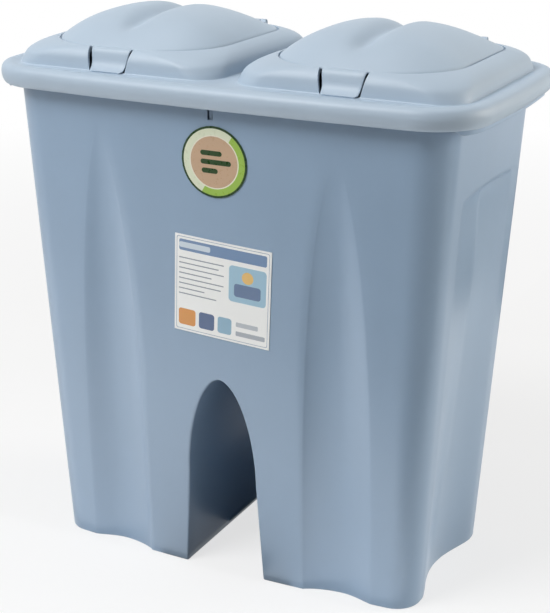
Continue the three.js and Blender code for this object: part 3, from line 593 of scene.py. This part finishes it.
# ------------------------------------------------------------------ cover

LONG_SHARES = steps(-1, 1, 44)[1:-1]
SHORT_SHARES = steps(-1, 1, 28)[1:-1]
SKIRT_CORNER_STEPS = [i / 22 for i in range(23)]


def skirt_outline(offset):
    """Closed outline of the cover's rim at an offset from the skirt's lower edge."""
    plan = Plan(SKIRT_WIDTH, SKIRT_DEPTH, SKIRT_CORNER, SKIRT_LONG_BOW, SKIRT_SHORT_BOW, offset)
    front = [(s * plan.end_x, -plan.long_y(s * plan.end_x)) for s in LONG_SHARES]
    right = [(plan.short_x(s * plan.end_y), s * plan.end_y) for s in SHORT_SHARES]
    turn = [plan.corner(t) for t in SKIRT_CORNER_STEPS]
    half = front + turn + right + [(x, -y) for x, y in reversed(turn)]
    return half + [(-x, -y) for x, y in half]


# The rim's section from the skirt's lower edge in to the plate: offset outward and height
RIM_SECTION = [(0, 519.0), (1.6, 521.2), (2.8, 524.2), (3.5, 528.0), (3.6, 531.0), (3.1, 534.0),
               (2.0, 536.6), (0.2, 538.6), (-2.4, 539.8), (-5.6, 540.25), (-9.0, 540.05),
               (-12.5, 539.4), (-15.5, 538.85), (-17.4, 538.7)]
# The hump's section from its foot to its edge: share of the way inward and of the way up
HUMP_SECTION = [(0.0, 0.05), (0.015, 0.11), (0.06, 0.26), (0.18, 0.54), (0.42, 0.76),
                (0.72, 0.91), (1, 1)]
# How far the hump's foot spreads over the plate, and how high it has risen there
HUMP_FOOT = ((1.3, 0.0), (0.7, 0.12), (0.25, 0.5))


def opening_box(side):
    """Sides and corner radii of the opening under a flap."""
    return (side * HUMP_X - FLAP_WIDTH / 2 - SIDE_GAP, side * HUMP_X + FLAP_WIDTH / 2 + SIDE_GAP,
            FLAP_FRONT - FRONT_GAP, FLAP_BACK + BACK_GAP,
            tuple(radius + SIDE_GAP for radius in FLAP_RADII))


def hump_outline(side, share, inset=0.0):
    """Outline of a hump, from its foot at share 0 to the edge of its opening at share 1."""
    ox0, ox1, oy0, oy1, radii = opening_box(side)
    edge = HUMP_EDGE_WIDTH
    return rectangle(
        lerp(side * HUMP_X - HUMP_WIDTH / 2, ox0 - edge, share),
        lerp(side * HUMP_X + HUMP_WIDTH / 2, ox1 + edge, share),
        lerp(-HUMP_DEPTH / 2, oy0 - edge, share), lerp(HUMP_DEPTH / 2, oy1 + edge, share),
        tuple(lerp(HUMP_RADIUS, radius + edge, share) for radius in radii), inset)


def hump_rows(side):
    """Rings up a hump, round its edge, over the shelf and down its underside."""
    path = smooth_path(HUMP_SECTION, 4)
    rows = [at(hump_outline(side, 0.0, -outset), PLATE_Z + up) for outset, up in HUMP_FOOT]
    rows += [at(hump_outline(side, max(s, 0.0)), PLATE_Z + r * HUMP_RISE) for s, r in path[:-1]]
    for inset, down in ((0.0, 0.25), (0.35, 0.0), (HUMP_EDGE_WIDTH - 0.45, 0.0)):
        rows.append(at(hump_outline(side, 1.0, inset), HUMP_EDGE_Z - down))
    opening = opening_box(side)
    for inset, z in ((0.0, HUMP_EDGE_Z - 0.45), (0.0, SHELF_TOP_Z),
                     (SHELF_WIDTH, SHELF_TOP_Z), (SHELF_WIDTH, SHELF_UNDER_Z)):
        rows.append(at(rectangle(*opening, inset), z))
    top_share = (SHELF_UNDER_Z - PLATE_Z + COVER_WALL) / HUMP_RISE
    rows.append(at(hump_outline(side, top_share, COVER_WALL), SHELF_UNDER_Z))
    inner = [(s, r) for s, r in reversed(path) if 0 < r < top_share - 0.02]
    rows += [at(hump_outline(side, s, COVER_WALL), PLATE_Z + r * HUMP_RISE - COVER_WALL)
             for s, r in inner]
    rows.append(at(hump_outline(side, 0.0, COVER_WALL - 1.2), PLATE_UNDER_Z))
    return rows


def cover_body():
    """The cover's mesh without notches and hinges."""
    shell = Shell()
    section = smooth_path(RIM_SECTION, 3)
    rows = [at(skirt_outline(-0.5), SKIRT_Z)]
    rows += [at(skirt_outline(o), z) for o, z in section[1:]]
    rows.append(at(skirt_outline(section[-1][0] - 0.6), PLATE_Z))
    rim = shell.loft(rows)
    humps = [shell.loft(hump_rows(side)) for side in (-1, 1)]
    shell.plate(rim[-1], humps[0][0], humps[1][0])
    wall = -COVER_WALL
    rows = [at(skirt_outline(section[-1][0] + wall), PLATE_UNDER_Z)]
    rows += [at(skirt_outline(o + wall), z + wall) for o, z in reversed(section[4:-1])]
    rows += [at(skirt_outline(wall), SKIRT_Z + 0.6), at(skirt_outline(wall + 0.5), SKIRT_Z)]
    inside = shell.loft(rows)
    shell.plate(inside[0], humps[0][-1], humps[1][-1])
    shell.strip(inside[-1], rim[0], True)
    return shell.mesh("cover_shell")


def tab_notch(side):
    x = side * HUMP_X
    low = PLATE_Z + TAB_GAP / 2
    foot, top = NOTCH_FOOT / 2, NOTCH_TOP / 2
    notch = [(x - foot, low), (x + foot, low), (x + top, HUMP_EDGE_Z),
             (x + top, HUMP_EDGE_Z + CUT_REACH), (x - top, HUMP_EDGE_Z + CUT_REACH),
             (x - top, HUMP_EDGE_Z)]
    return prism_y(notch, -HUMP_DEPTH / 2 - CUT_REACH, FLAP_FRONT + SHELF_WIDTH * 2)


def make_cover():
    obj = piece("cover_shell", cover_body())
    base = HUMP_EDGE_Z - HUMP_RISE * 0.3
    lug = circle((HINGE_Y, HINGE_Z), LUG_RADIUS, 0, math.pi, 20)
    lug += [(HINGE_Y - LUG_RADIUS, base), (HINGE_Y + LUG_RADIUS, base)]
    hole = circle((HINGE_Y, HINGE_Z), PIN_RADIUS + BORE_CLEARANCE, 0, 2 * math.pi, 28)[:-1]
    half = ARM_WIDTH / 2 + ARM_SIDE_GAP
    cuts, lugs, bores = [], [], []
    for side in (-1, 1):
        cuts.append(tab_notch(side))
        for end in (-1, 1):
            arm = side * HUMP_X + end * ARM_SPACING / 2
            cuts.append(box(arm - half, arm + half,
                            FLAP_BACK - SHELF_WIDTH, HINGE_Y + ARM_RADIUS + 2,
                            HINGE_Z - ARM_RADIUS - 1.5, HINGE_Z + CUT_REACH))
            for x0, x1 in ((arm - half - LUG_WIDTH, arm - half),
                           (arm + half, arm + half + LUG_WIDTH)):
                lugs.append(prism_x(lug, x0, x1))
                bores.append(prism_x(hole, x0 - 0.3, x1 + 0.3))
    apply_boolean(obj, join_shells(cuts, "cuts"), "DIFFERENCE")
    apply_boolean(obj, join_shells(lugs, "lugs"), "UNION")
    apply_boolean(obj, join_shells(bores, "bores"), "DIFFERENCE")
    smooth_shade(obj, COVER_FOLD)
    return obj


# ------------------------------------------------------------------ flaps

FLAP_MID = (FLAP_FRONT + FLAP_BACK) / 2
FLAP_HALF_DEPTH = (FLAP_BACK - FLAP_FRONT) / 2


def flap_half_width(y):
    """Half the flap's width at y, narrower along its rounded corners."""
    radius = FLAP_RADII[0] if y < FLAP_MID else FLAP_RADII[1]
    reach = max(abs(y - FLAP_MID) - (FLAP_HALF_DEPTH - radius), 0.0)
    return FLAP_WIDTH / 2 - radius + math.sqrt(max(radius ** 2 - reach ** 2, 0.0))


def flap_rise(x, y):
    """Height of the dome with its valley over the flap's edge."""
    along = min(max((y - FLAP_MID) / FLAP_HALF_DEPTH, -1.0), 1.0)
    half = flap_half_width(y)
    across = min(abs(x) / half, 1.0)
    dome = FLAP_RISE * (1 - across ** DOME_POWER_X) * (1 - abs(along) ** DOME_POWER_Y)
    fade = smoothstep(along, -0.95, -0.5) * (1 - along ** 4)
    return dome - VALLEY_DEPTH * fade * math.exp(-((x / VALLEY_SPREAD) ** 2))


def flap_ring(side, share, inset=0.0, drop=0.0):
    """Ring of a flap's surface: the flap's outline shrunk to a share of its size."""
    half_x = FLAP_WIDTH / 2 * share
    half_y = FLAP_HALF_DEPTH * share
    radii = tuple(radius * share for radius in FLAP_RADII)
    outline = rectangle(-half_x, half_x, -half_y, half_y, radii, inset, 22, 24)
    ring = []
    for x, y in outline:
        z = HUMP_EDGE_Z + flap_rise(x, FLAP_MID + y) - drop
        ring.append((side * HUMP_X + x, FLAP_MID + y, z))
    return ring


TAB_DROP = HUMP_EDGE_Z - (PLATE_Z + TAB_GAP)
# The tab's line from the flap to its foot: distance behind the flap's front edge, share of the drop
TAB_SECTION = [(5, -2.6 / TAB_DROP), (2.5, -1.1 / TAB_DROP), (0.2, 0.0), (-2.0, 0.012),
               (-4.3, 0.07), (-6.0, 0.19), (-7.2, 0.36), (-8.2, 0.54), (-9.6, 0.7),
               (-12.0, 0.84), (-15.0, 0.93), (-17.8, 0.985)]
TAB_TIP, TAB_TIP_NARROWING, TAB_TIP_THINNING = 0.9, 1.6, 0.3
TAB_SIDE_POWER, TAB_FACE_POWER = 0.16, 0.7


def finger_tab(side):
    """Tab that runs on from the flap's front edge, turns down and flares forward over the rim."""
    path = smooth_path(TAB_SECTION, 3)
    shell = Shell()
    rows = []
    for i, (back, down) in enumerate(path):
        before, after = path[max(i - 1, 0)], path[min(i + 1, len(path) - 1)]
        dy, dz = after[0] - before[0], -(after[1] - before[1]) * TAB_DROP
        length = math.hypot(dy, dz)
        normal = (dz / length, -dy / length)
        y = FLAP_FRONT + back
        z = HUMP_EDGE_Z - down * TAB_DROP
        wide = lerp(TAB_TOP, TAB_FOOT, min(max(down, 0.0), 1.0)) / 2
        if down > TAB_TIP:
            wide -= TAB_TIP_NARROWING * ((down - TAB_TIP) / 0.065) ** 2
        thick = TAB_THICKNESS / 2 if down < 0.93 else TAB_THICKNESS / 2 - TAB_TIP_THINNING
        ring = []
        for a in steps(0, 2 * math.pi, 40)[:-1]:
            c, s = math.cos(a), math.sin(a)
            u = math.copysign(abs(c) ** TAB_SIDE_POWER, c) * wide
            v = math.copysign(abs(s) ** TAB_FACE_POWER, s) * thick
            ring.append((side * HUMP_X + u, y + normal[0] * (-thick + v),
                         z + normal[1] * (-thick + v)))
        rows.append(ring)
    loops = shell.loft(rows)
    shell.cap(loops[0])
    shell.cap(loops[-1])
    return shell


def make_flap(side, name):
    shell = Shell()
    shares = [0.03] + steps(0.03, 1.0, 46)[1:-1]
    top = shell.loft([flap_ring(side, s) for s in shares])
    edge = [flap_ring(side, 1.0, 0.7)]
    for inset, down in ((0.2, 0.25), (0.0, 0.8), (0.0, FLAP_THICKNESS - 0.4),
                        (0.5, FLAP_THICKNESS)):
        edge.append([(x, y, HUMP_EDGE_Z - down) for x, y, _ in flap_ring(side, 1.0, inset)])
    edge_loops = shell.loft(edge)
    shell.strip(top[-1], edge_loops[0], True)
    under = shell.loft([flap_ring(side, s, 0.0, FLAP_THICKNESS) for s in reversed(shares)])
    shell.strip(edge_loops[-1], under[0], True)
    shell.cap(top[0])
    shell.cap(under[-1])
    obj = piece(name, shell.mesh(name))
    apply_boolean(obj, finger_tab(side).mesh("tab"), "UNION")
    root = FLAP_BACK - 3
    arm = [(root, HUMP_EDGE_Z - FLAP_THICKNESS + 0.2)]
    arm += circle((HINGE_Y, HINGE_Z), ARM_RADIUS, -math.pi / 2, math.pi / 2, 20)
    arm += [(root, HUMP_EDGE_Z + 1.5)]
    pin = circle((HINGE_Y, HINGE_Z), PIN_RADIUS, 0, 2 * math.pi, 28)[:-1]
    pin_reach = ARM_WIDTH / 2 + ARM_SIDE_GAP + LUG_WIDTH - 0.5
    arms, pins = [], []
    for end in (-1, 1):
        x = side * HUMP_X + end * ARM_SPACING / 2
        arms.append(prism_x(arm, x - ARM_WIDTH / 2, x + ARM_WIDTH / 2))
        pins.append(prism_x(pin, x - pin_reach, x + pin_reach))
    apply_boolean(obj, join_shells(arms, "arms"), "UNION")
    apply_boolean(obj, join_shells(pins, "pins"), "UNION")
    smooth_shade(obj, FLAP_FOLD)
    return obj


# ------------------------------------------------------------------ materials

class Nodes:
    """Adds nodes to a tree and links them."""

    def __init__(self, tree):
        self.tree = tree

    def add(self, kind, **settings):
        node = self.tree.nodes.new(kind)
        for key, value in settings.items():
            setattr(node, key, value)
        return node

    def link(self, source, target):
        self.tree.links.new(source, target)

    def math(self, operation, a, b=None, clamp=False):
        node = self.add("ShaderNodeMath", operation=operation, use_clamp=clamp)
        for socket, value in zip(node.inputs, (a, b)):
            if value is None:
                continue
            if isinstance(value, (int, float)):
                socket.default_value = value
            else:
                self.link(value, socket)
        return node.outputs[0]

    def span(self, value, low, high, to_low, to_high):
        """Maps low to to_low and high to to_high."""
        node = self.add("ShaderNodeMapRange")
        for key, number in (("From Min", low), ("From Max", high),
                            ("To Min", to_low), ("To Max", to_high)):
            node.inputs[key].default_value = number
        self.link(value, node.inputs["Value"])
        return node.outputs["Result"]

    def mix(self, factor, a, b):
        node = self.add("ShaderNodeMix", data_type="RGBA")
        self.link(factor, node.inputs[0])
        for socket, value in ((node.inputs[6], a), (node.inputs[7], b)):
            if isinstance(value, tuple):
                socket.default_value = (*value, 1)
            else:
                self.link(value, socket)
        return node.outputs[2]

    def bump(self, height, strength, distance, follow=None):
        node = self.add("ShaderNodeBump")
        node.inputs["Strength"].default_value = strength
        node.inputs["Distance"].default_value = distance
        self.link(height, node.inputs["Height"])
        if follow is not None:
            self.link(follow, node.inputs["Normal"])
        return node.outputs["Normal"]


class Surface(Nodes):
    """A new material's node tree, with its shader and its object coordinates in metres."""

    def __init__(self, name):
        self.material = bpy.data.materials.new(name)
        self.material.use_nodes = True
        super().__init__(self.material.node_tree)
        self.shader = self.tree.nodes["Principled BSDF"]
        self.output = self.tree.nodes["Material Output"].inputs["Surface"]
        self.place = self.add("ShaderNodeTexCoord").outputs["Object"]

    def noise(self, scale, detail, roughness, source=None):
        node = self.add("ShaderNodeTexNoise")
        node.inputs["Scale"].default_value = scale
        node.inputs["Detail"].default_value = detail
        node.inputs["Roughness"].default_value = roughness
        self.link(source or self.place, node.inputs["Vector"])
        return node.outputs["Fac"]


def srgb(*values):
    """Linear colour of sRGB levels from 0 to 255."""
    return tuple(v / 255 / 12.92 if v / 255 <= 0.04045 else ((v / 255 + 0.055) / 1.055) ** 2.4
                 for v in values)


PLASTIC_IOR, PLASTIC_GLOSS = 1.49, 0.65


def plastic(name, colour, roughness):
    """Satin moulded plastic: fine grain, slight flow marks, a slow ripple, and rubbed edges
    lightened as wear and as a painted edge highlight.
    """
    n = Surface(name)
    shade = tuple(c * 0.97 for c in colour)
    light = tuple(min(c * 1.03, 1.0) for c in colour)
    # Lighter colour at sharp edges: wear and a painted edge highlight
    rubbed_and_highlit = tuple(min(c * 1.22 + 0.02, 1.0) for c in colour)
    # Tone: soft clouds, and flow marks drawn out upwards
    cloud = n.noise(9.0, 3.0, 0.55)
    flow = n.add("ShaderNodeMapping")
    flow.inputs["Scale"].default_value = (22.0, 22.0, 2.2)
    n.link(n.place, flow.inputs["Vector"])
    marks = n.noise(1.0, 3.0, 0.6, flow.outputs["Vector"])
    tone = n.math("ADD", n.math("MULTIPLY", cloud, 0.6), n.math("MULTIPLY", marks, 0.4))
    base = n.mix(n.span(tone, 0.3, 0.7, 0.0, 1.0), shade, light)
    # Wear and painted highlight: sharp outer edges lightened, broken up by a fine noise
    point = n.add("ShaderNodeNewGeometry").outputs["Pointiness"]
    edge = n.span(point, 0.57, 0.66, 0.0, 1.0)
    wear_and_highlight = n.math("MULTIPLY", edge, n.span(n.noise(160.0, 2.0, 0.6), 0.42, 0.62, 0.0, 0.55))
    n.link(n.mix(wear_and_highlight, base, rubbed_and_highlit), n.shader.inputs["Base Color"])
    # Gloss: slow scuffs and a fine unevenness
    scuff = n.span(n.noise(14.0, 2.0, 0.5), 0.3, 0.7, -0.02, 0.02)
    fine = n.span(n.noise(700.0, 1.0, 0.5), 0.3, 0.7, -0.01, 0.01)
    rough = n.math("ADD", n.math("ADD", scuff, fine), roughness, clamp=True)
    n.link(rough, n.shader.inputs["Roughness"])
    grain = n.bump(n.noise(1900.0, 2.0, 0.6), 0.08, 0.0001)
    ripple = n.bump(n.noise(9.0, 1.0, 0.4), 0.15, 0.0004, grain)
    n.link(ripple, n.shader.inputs["Normal"])
    n.shader.inputs["IOR"].default_value = PLASTIC_IOR
    n.shader.inputs["Specular IOR Level"].default_value = PLASTIC_GLOSS
    return n.material


def printed(name, roughness, draw):
    """Printed film or coated paper: the print under a faint mottle, with an uneven gloss."""
    n = Surface(name)
    mottle = n.span(n.noise(60.0, 3.0, 0.6), 0.3, 0.7, 0.0, 0.03)
    ink = draw(n)
    n.link(n.mix(mottle, ink, (0.45, 0.45, 0.42)), n.shader.inputs["Base Color"])
    rough = n.span(n.noise(240.0, 2.0, 0.6), 0.3, 0.7, roughness - 0.05, roughness + 0.07)
    n.link(rough, n.shader.inputs["Roughness"])
    n.link(n.bump(n.noise(520.0, 2.0, 0.5), 0.12, 0.0002), n.shader.inputs["Normal"])
    return n.material


def print_place(n, x, z, turned_by=0.0):
    """Distances in mm to the right and up from a print's middle, in the print's own directions."""
    split = n.add("ShaderNodeSeparateXYZ")
    n.link(n.place, split.inputs[0])
    across = n.math("SUBTRACT", n.math("MULTIPLY", split.outputs[0], 1 / MM), x)
    above = n.math("SUBTRACT", n.math("MULTIPLY", split.outputs[2], 1 / MM), z)
    c, s = math.cos(turned_by), math.sin(turned_by)
    return (n.math("ADD", n.math("MULTIPLY", across, c), n.math("MULTIPLY", above, s)),
            n.math("SUBTRACT", n.math("MULTIPLY", above, c), n.math("MULTIPLY", across, s)))


def within(n, across, above, radius):
    """1 where a pair of distances is inside a radius."""
    square = n.math("ADD", n.math("MULTIPLY", across, across), n.math("MULTIPLY", above, above))
    return n.math("LESS_THAN", square, radius ** 2)


def rounded_block(n, place, x0, x1, z0, z1, corner=0.0):
    """1 inside a rectangle with rounded corners."""
    reach = []
    for value, low, high in ((place[0], x0, x1), (place[1], z0, z1)):
        off = n.math("ABSOLUTE", n.math("SUBTRACT", value, (low + high) / 2))
        reach.append(n.math("MAXIMUM", n.math("SUBTRACT", off, (high - low) / 2 - corner), 0.0))
    return within(n, *reach, max(corner, 0.01))


def disc(n, place, x, z, radius):
    """1 inside a circle."""
    return within(n, n.math("SUBTRACT", place[0], x), n.math("SUBTRACT", place[1], z), radius)


STICKER_GREEN = srgb(38, 70, 30)
RING_RADIUS, RING_SLANT, RING_SPLIT = 34.2, -0.6, 4.0
RING_CREAM, RING_LIME = srgb(226, 232, 205), srgb(160, 196, 84)
STICKER_DISCS = ((27.4, (238, 236, 214)), (26.2, (204, 172, 142)))  # radius in mm, colour
STICKER_BARS = ((-3, 12, 9), (2, 17, 0), (-5, 9, -9))  # middle, half length and height in mm
BAR_HALF = 2.6


def draw_sticker(n):
    """A dark rim, a ring cream on one side and lime on the other, three bars on a beige disc."""
    place = print_place(n, *STICKER_PLACE)
    slant = n.math("ADD", place[0], n.math("MULTIPLY", place[1], RING_SLANT))
    ring = n.mix(n.math("GREATER_THAN", slant, RING_SPLIT), RING_CREAM, RING_LIME)
    colour = n.mix(disc(n, place, 0, 0, RING_RADIUS), STICKER_GREEN, ring)
    for radius, ink in STICKER_DISCS:
        colour = n.mix(disc(n, place, 0, 0, radius), colour, srgb(*ink))
    for middle, half, level in STICKER_BARS:
        bar = rounded_block(n, place, middle - half, middle + half,
                            level - BAR_HALF, level + BAR_HALF, BAR_HALF)
        colour = n.mix(bar, colour, STICKER_GREEN)
    return colour


# Left, right, lower and upper side in mm from the label's middle, corner radius, colour
LABEL_BLOCKS = (
    (-50, 50, 36, 48, 2, (122, 150, 186)), (-50, -14, 39, 45, 2, (214, 226, 236)),
    (8, 50, -8, 31, 4, (166, 202, 222)), (14, 44, -2, 12, 3, (108, 130, 164)),
    (-50, -30, -46, -28, 3, (226, 156, 84)), (-26, -8, -46, -28, 3, (92, 112, 150)),
    (-4, 12, -46, -28, 3, (150, 186, 208)), (17, 50, -45, -40, 1, (178, 184, 192)),
    (17, 42, -35, -30, 1, (196, 202, 208)))
LABEL_DISC = (29, 20, 6.5)
LABEL_LINES = (52, 46, 52, 38, 52, 49, 30, 44)  # lengths in mm, from the top line down
LINE_LEFT, LINE_TOP, LINE_PITCH, LINE_HALF = -50, 28, 5.6, 0.55


def draw_label(n):
    """A white card with plain blocks of colour, a disc, rows of thin grey lines and a border."""
    place = print_place(n, *LABEL_PLACE, LABEL_TURN)
    colour = srgb(251, 252, 250)
    for x0, x1, z0, z1, corner, ink in LABEL_BLOCKS:
        block = rounded_block(n, place, x0, x1, z0, z1, corner)
        colour = n.mix(block, colour, srgb(*ink))
    colour = n.mix(disc(n, place, *LABEL_DISC), colour, srgb(238, 196, 120))
    for row, width in enumerate(LABEL_LINES):
        z = LINE_TOP - row * LINE_PITCH
        line = rounded_block(n, place, LINE_LEFT, LINE_LEFT + width, z - LINE_HALF, z + LINE_HALF)
        colour = n.mix(line, colour, srgb(140, 148, 160))
    border = n.math("SUBTRACT", rounded_block(n, place, -53, 53, -51, 51, 2),
                    rounded_block(n, place, -52.3, 52.3, -50.3, 50.3, 2))
    return n.mix(border, colour, srgb(176, 186, 200))


TUB_COLOUR = srgb(147, 171, 196)
COVER_COLOUR = srgb(173, 190, 206)
DIVIDER_COLOUR = tuple(c * 0.92 for c in TUB_COLOUR)

tub_plastic = plastic("tub_plastic", TUB_COLOUR, 0.33)
cover_plastic = plastic("cover_plastic", COVER_COLOUR, 0.48)
divider_plastic = plastic("divider_plastic", DIVIDER_COLOUR, 0.42)


# ------------------------------------------------------------------ pieces

def dress(obj, material):
    obj.data.materials.clear()
    obj.data.materials.append(material)


tub = make_tub()
dress(tub, tub_plastic)
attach(tub, "tub")
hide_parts("tub")

cover = make_cover()
dress(cover, cover_plastic)
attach(cover, "cover")
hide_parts("cover")

for flap_side, flap_name in ((-1, "left_flap"), (1, "right_flap")):
    flap = make_flap(flap_side, flap_name + "_shell")
    dress(flap, cover_plastic)
    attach(flap, flap_name)
    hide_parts(flap_name)

dress(bpy.data.objects["divider_panel"], divider_plastic)
dress(bpy.data.objects["round_sticker"], printed("sticker_film", 0.3, draw_sticker))
dress(bpy.data.objects["front_label"], printed("label_paper", 0.34, draw_label))


# ------------------------------------------------------------------ camera

CAMERA_PLACE = (0.697848, -1.387971, 0.820294)
YAW, PITCH, ROLL = -0.470089, -0.339877, 0.003187
FOCAL_PIXELS, MIDDLE = 1495.12, (267.487, 306.080)
IMAGE_WIDTH, IMAGE_HEIGHT = 550, 613
SENSOR_HEIGHT = 36.0

forward = Vector((math.sin(YAW) * math.cos(PITCH), math.cos(YAW) * math.cos(PITCH),
                  math.sin(PITCH)))
level = Vector((math.cos(YAW), -math.sin(YAW), 0))
upright = level.cross(forward)
right = level * math.cos(ROLL) + upright * math.sin(ROLL)
up = upright * math.cos(ROLL) - level * math.sin(ROLL)
lens = bpy.data.cameras.new("camera")
lens.sensor_fit = "VERTICAL"
lens.sensor_height = SENSOR_HEIGHT
lens.lens = FOCAL_PIXELS / IMAGE_HEIGHT * SENSOR_HEIGHT
lens.shift_x = (IMAGE_WIDTH / 2 - MIDDLE[0]) / IMAGE_HEIGHT
lens.shift_y = (MIDDLE[1] - IMAGE_HEIGHT / 2) / IMAGE_HEIGHT
lens.clip_start, lens.clip_end = 0.05, 50
camera = piece("camera", lens)
camera.matrix_world = (Matrix.Translation(CAMERA_PLACE)
                       @ Matrix((right, up, -forward)).transposed().to_4x4())
bpy.context.scene.camera = camera


# ------------------------------------------------------------------ studio

def lamp(name, place, target, size, power, colour=(1, 1, 1)):
    data = bpy.data.lights.new(name, "AREA")
    data.shape = "SQUARE"
    data.size = size
    data.energy = power
    data.color = colour
    obj = piece(name, data)
    obj.location = place
    aim = Vector(target) - Vector(place)
    obj.rotation_euler = aim.to_track_quat("-Z", "Y").to_euler()


def stage_plane(name, outline, height, material):
    mesh = bpy.data.meshes.new(name)
    mesh.from_pydata([(x, y, height) for x, y in outline], [], [tuple(range(len(outline)))])
    obj = piece(name, mesh)
    obj.data.materials.append(material)
    return obj


def reflected_card(name, outline, height, strength):
    """A card that shows in the plastic's gloss alone: white where it glows, black at strength 0."""
    n = Surface(name)
    n.tree.nodes.remove(n.shader)
    glow = n.add("ShaderNodeEmission")
    glow.inputs["Strength"].default_value = strength
    n.link(glow.outputs[0], n.output)
    obj = stage_plane(name, outline, height, n.material)
    obj.visible_camera = obj.visible_diffuse = False
    obj.visible_shadow = obj.visible_transmission = False


def seen_directly(n):
    """1 for rays from the camera, mirrors and glass."""
    path = n.add("ShaderNodeLightPath")
    mirrored = n.math("MAXIMUM", path.outputs["Is Glossy Ray"],
                      path.outputs["Is Transmission Ray"])
    return n.math("MAXIMUM", path.outputs["Is Camera Ray"], mirrored)


# White floor. Where it is seen it mostly glows, the more the farther away, so that it fades into
# the background and keeps a soft shadow. Its strip through the arch is near-black to bounced light
# and throws hardly any light up: painted shade in the tunnel.
FLOOR_HALF = 7
GLOW_NEAR, GLOW_FAR = (0.6, 0.7), (2.2, 1.0)  # distance in metres, share of glow
# The strip's grey, near-black to bounced light alone, is painted shade under the arch
SEEN_GREY, BOUNCE_GREY, ARCH_SHADE_GREY = ((grey,) * 3 for grey in (0.9, 0.88, 0.02))
STRIP_HALF_X, STRIP_HALF_Y = 0.08, 0.45

paper = Surface("floor")
seen = seen_directly(paper)
spot = paper.add("ShaderNodeSeparateXYZ")
paper.link(paper.place, spot.inputs[0])
in_shade_strip = paper.math(
    "MULTIPLY", paper.math("LESS_THAN", paper.math("ABSOLUTE", spot.outputs[0]), STRIP_HALF_X),
    paper.math("LESS_THAN", paper.math("ABSOLUTE", spot.outputs[1]), STRIP_HALF_Y))
bounce = paper.mix(in_shade_strip, BOUNCE_GREY, ARCH_SHADE_GREY)
paper.link(paper.mix(seen, bounce, SEEN_GREY), paper.shader.inputs["Base Color"])
paper.shader.inputs["Roughness"].default_value = 0.9
away = paper.add("ShaderNodeVectorMath", operation="LENGTH")
paper.link(paper.place, away.inputs[0])
own_glow = paper.span(away.outputs["Value"], GLOW_NEAR[0], GLOW_FAR[0], GLOW_NEAR[1], GLOW_FAR[1])
both = paper.add("ShaderNodeMixShader")
paper.link(paper.math("MULTIPLY", seen, own_glow), both.inputs[0])
paper.link(paper.shader.outputs[0], both.inputs[1])
paper.link(paper.add("ShaderNodeEmission").outputs[0], both.inputs[2])
paper.link(both.outputs[0], paper.output)
stage_plane("floor", [(-FLOOR_HALF, -FLOOR_HALF), (FLOOR_HALF, -FLOOR_HALF),
                      (FLOOR_HALF, FLOOR_HALF), (-FLOOR_HALF, FLOOR_HALF)], 0, paper.material)

# Dark and bright fields that the photo's plastic mirrors: outline and height in metres, strength
for card in (
        ("dark_front", [(-2.64, -2.569), (1.2, -3.5), (2.4, 0.6), (0.9, 0.107)], 0.003, 0.0),
        ("dark_back", [(0.0, 0.72), (0.6, 0.82), (0.6, 1.7), (0.0, 1.7)], 0.003, 0.0),
        ("dark_right", [(0.86, 0.5), (1.8, 0.3), (1.8, 1.6), (0.86, 1.6)], 0.003, 0.0),
        ("bright_near", [(-1.1, -0.6), (0.15, -0.45), (0.27, -0.2), (0.27, -0.12),
                         (-1.1, -0.12)], 0.002, 1.9),
        ("dim_arch", [(-0.045, -0.16), (0.045, -0.16), (0.045, -0.02), (-0.045, -0.02)],
         0.004, 0.4),
        ("dark_arch", [(-0.06, -0.02), (0.06, -0.02), (0.06, 0.42), (-0.06, 0.42)],
         0.004, 0.0)):
    reflected_card(*card)

# White background where it is seen, weak even light on the bin
SKY_LIGHT, SKY_SEEN = 0.13, 1.0

world = bpy.data.worlds.new("studio")
bpy.context.scene.world = world
world.use_nodes = True
sky = Nodes(world.node_tree)
background = sky.tree.nodes["Background"]
background.inputs["Color"].default_value = (1, 1, 1, 1)
sky.link(sky.span(seen_directly(sky), 0, 1, SKY_LIGHT, SKY_SEEN), background.inputs["Strength"])

# Name, place, aim and size in metres, power in watts, colour
lamp("top", (-0.3, 0.1, 2.6), (0, 0, 0.4), 1.6, 11)
lamp("front", (-0.9, -1.5, 2.35), (0, 0, 0.35), 1.3, 50)
lamp("side", (2.1, 1.1, 0.9), (0, 0, 0.3), 1.2, 31, (1.0, 0.955, 0.88))

bpy.context.scene.view_settings.view_transform = "Standard"
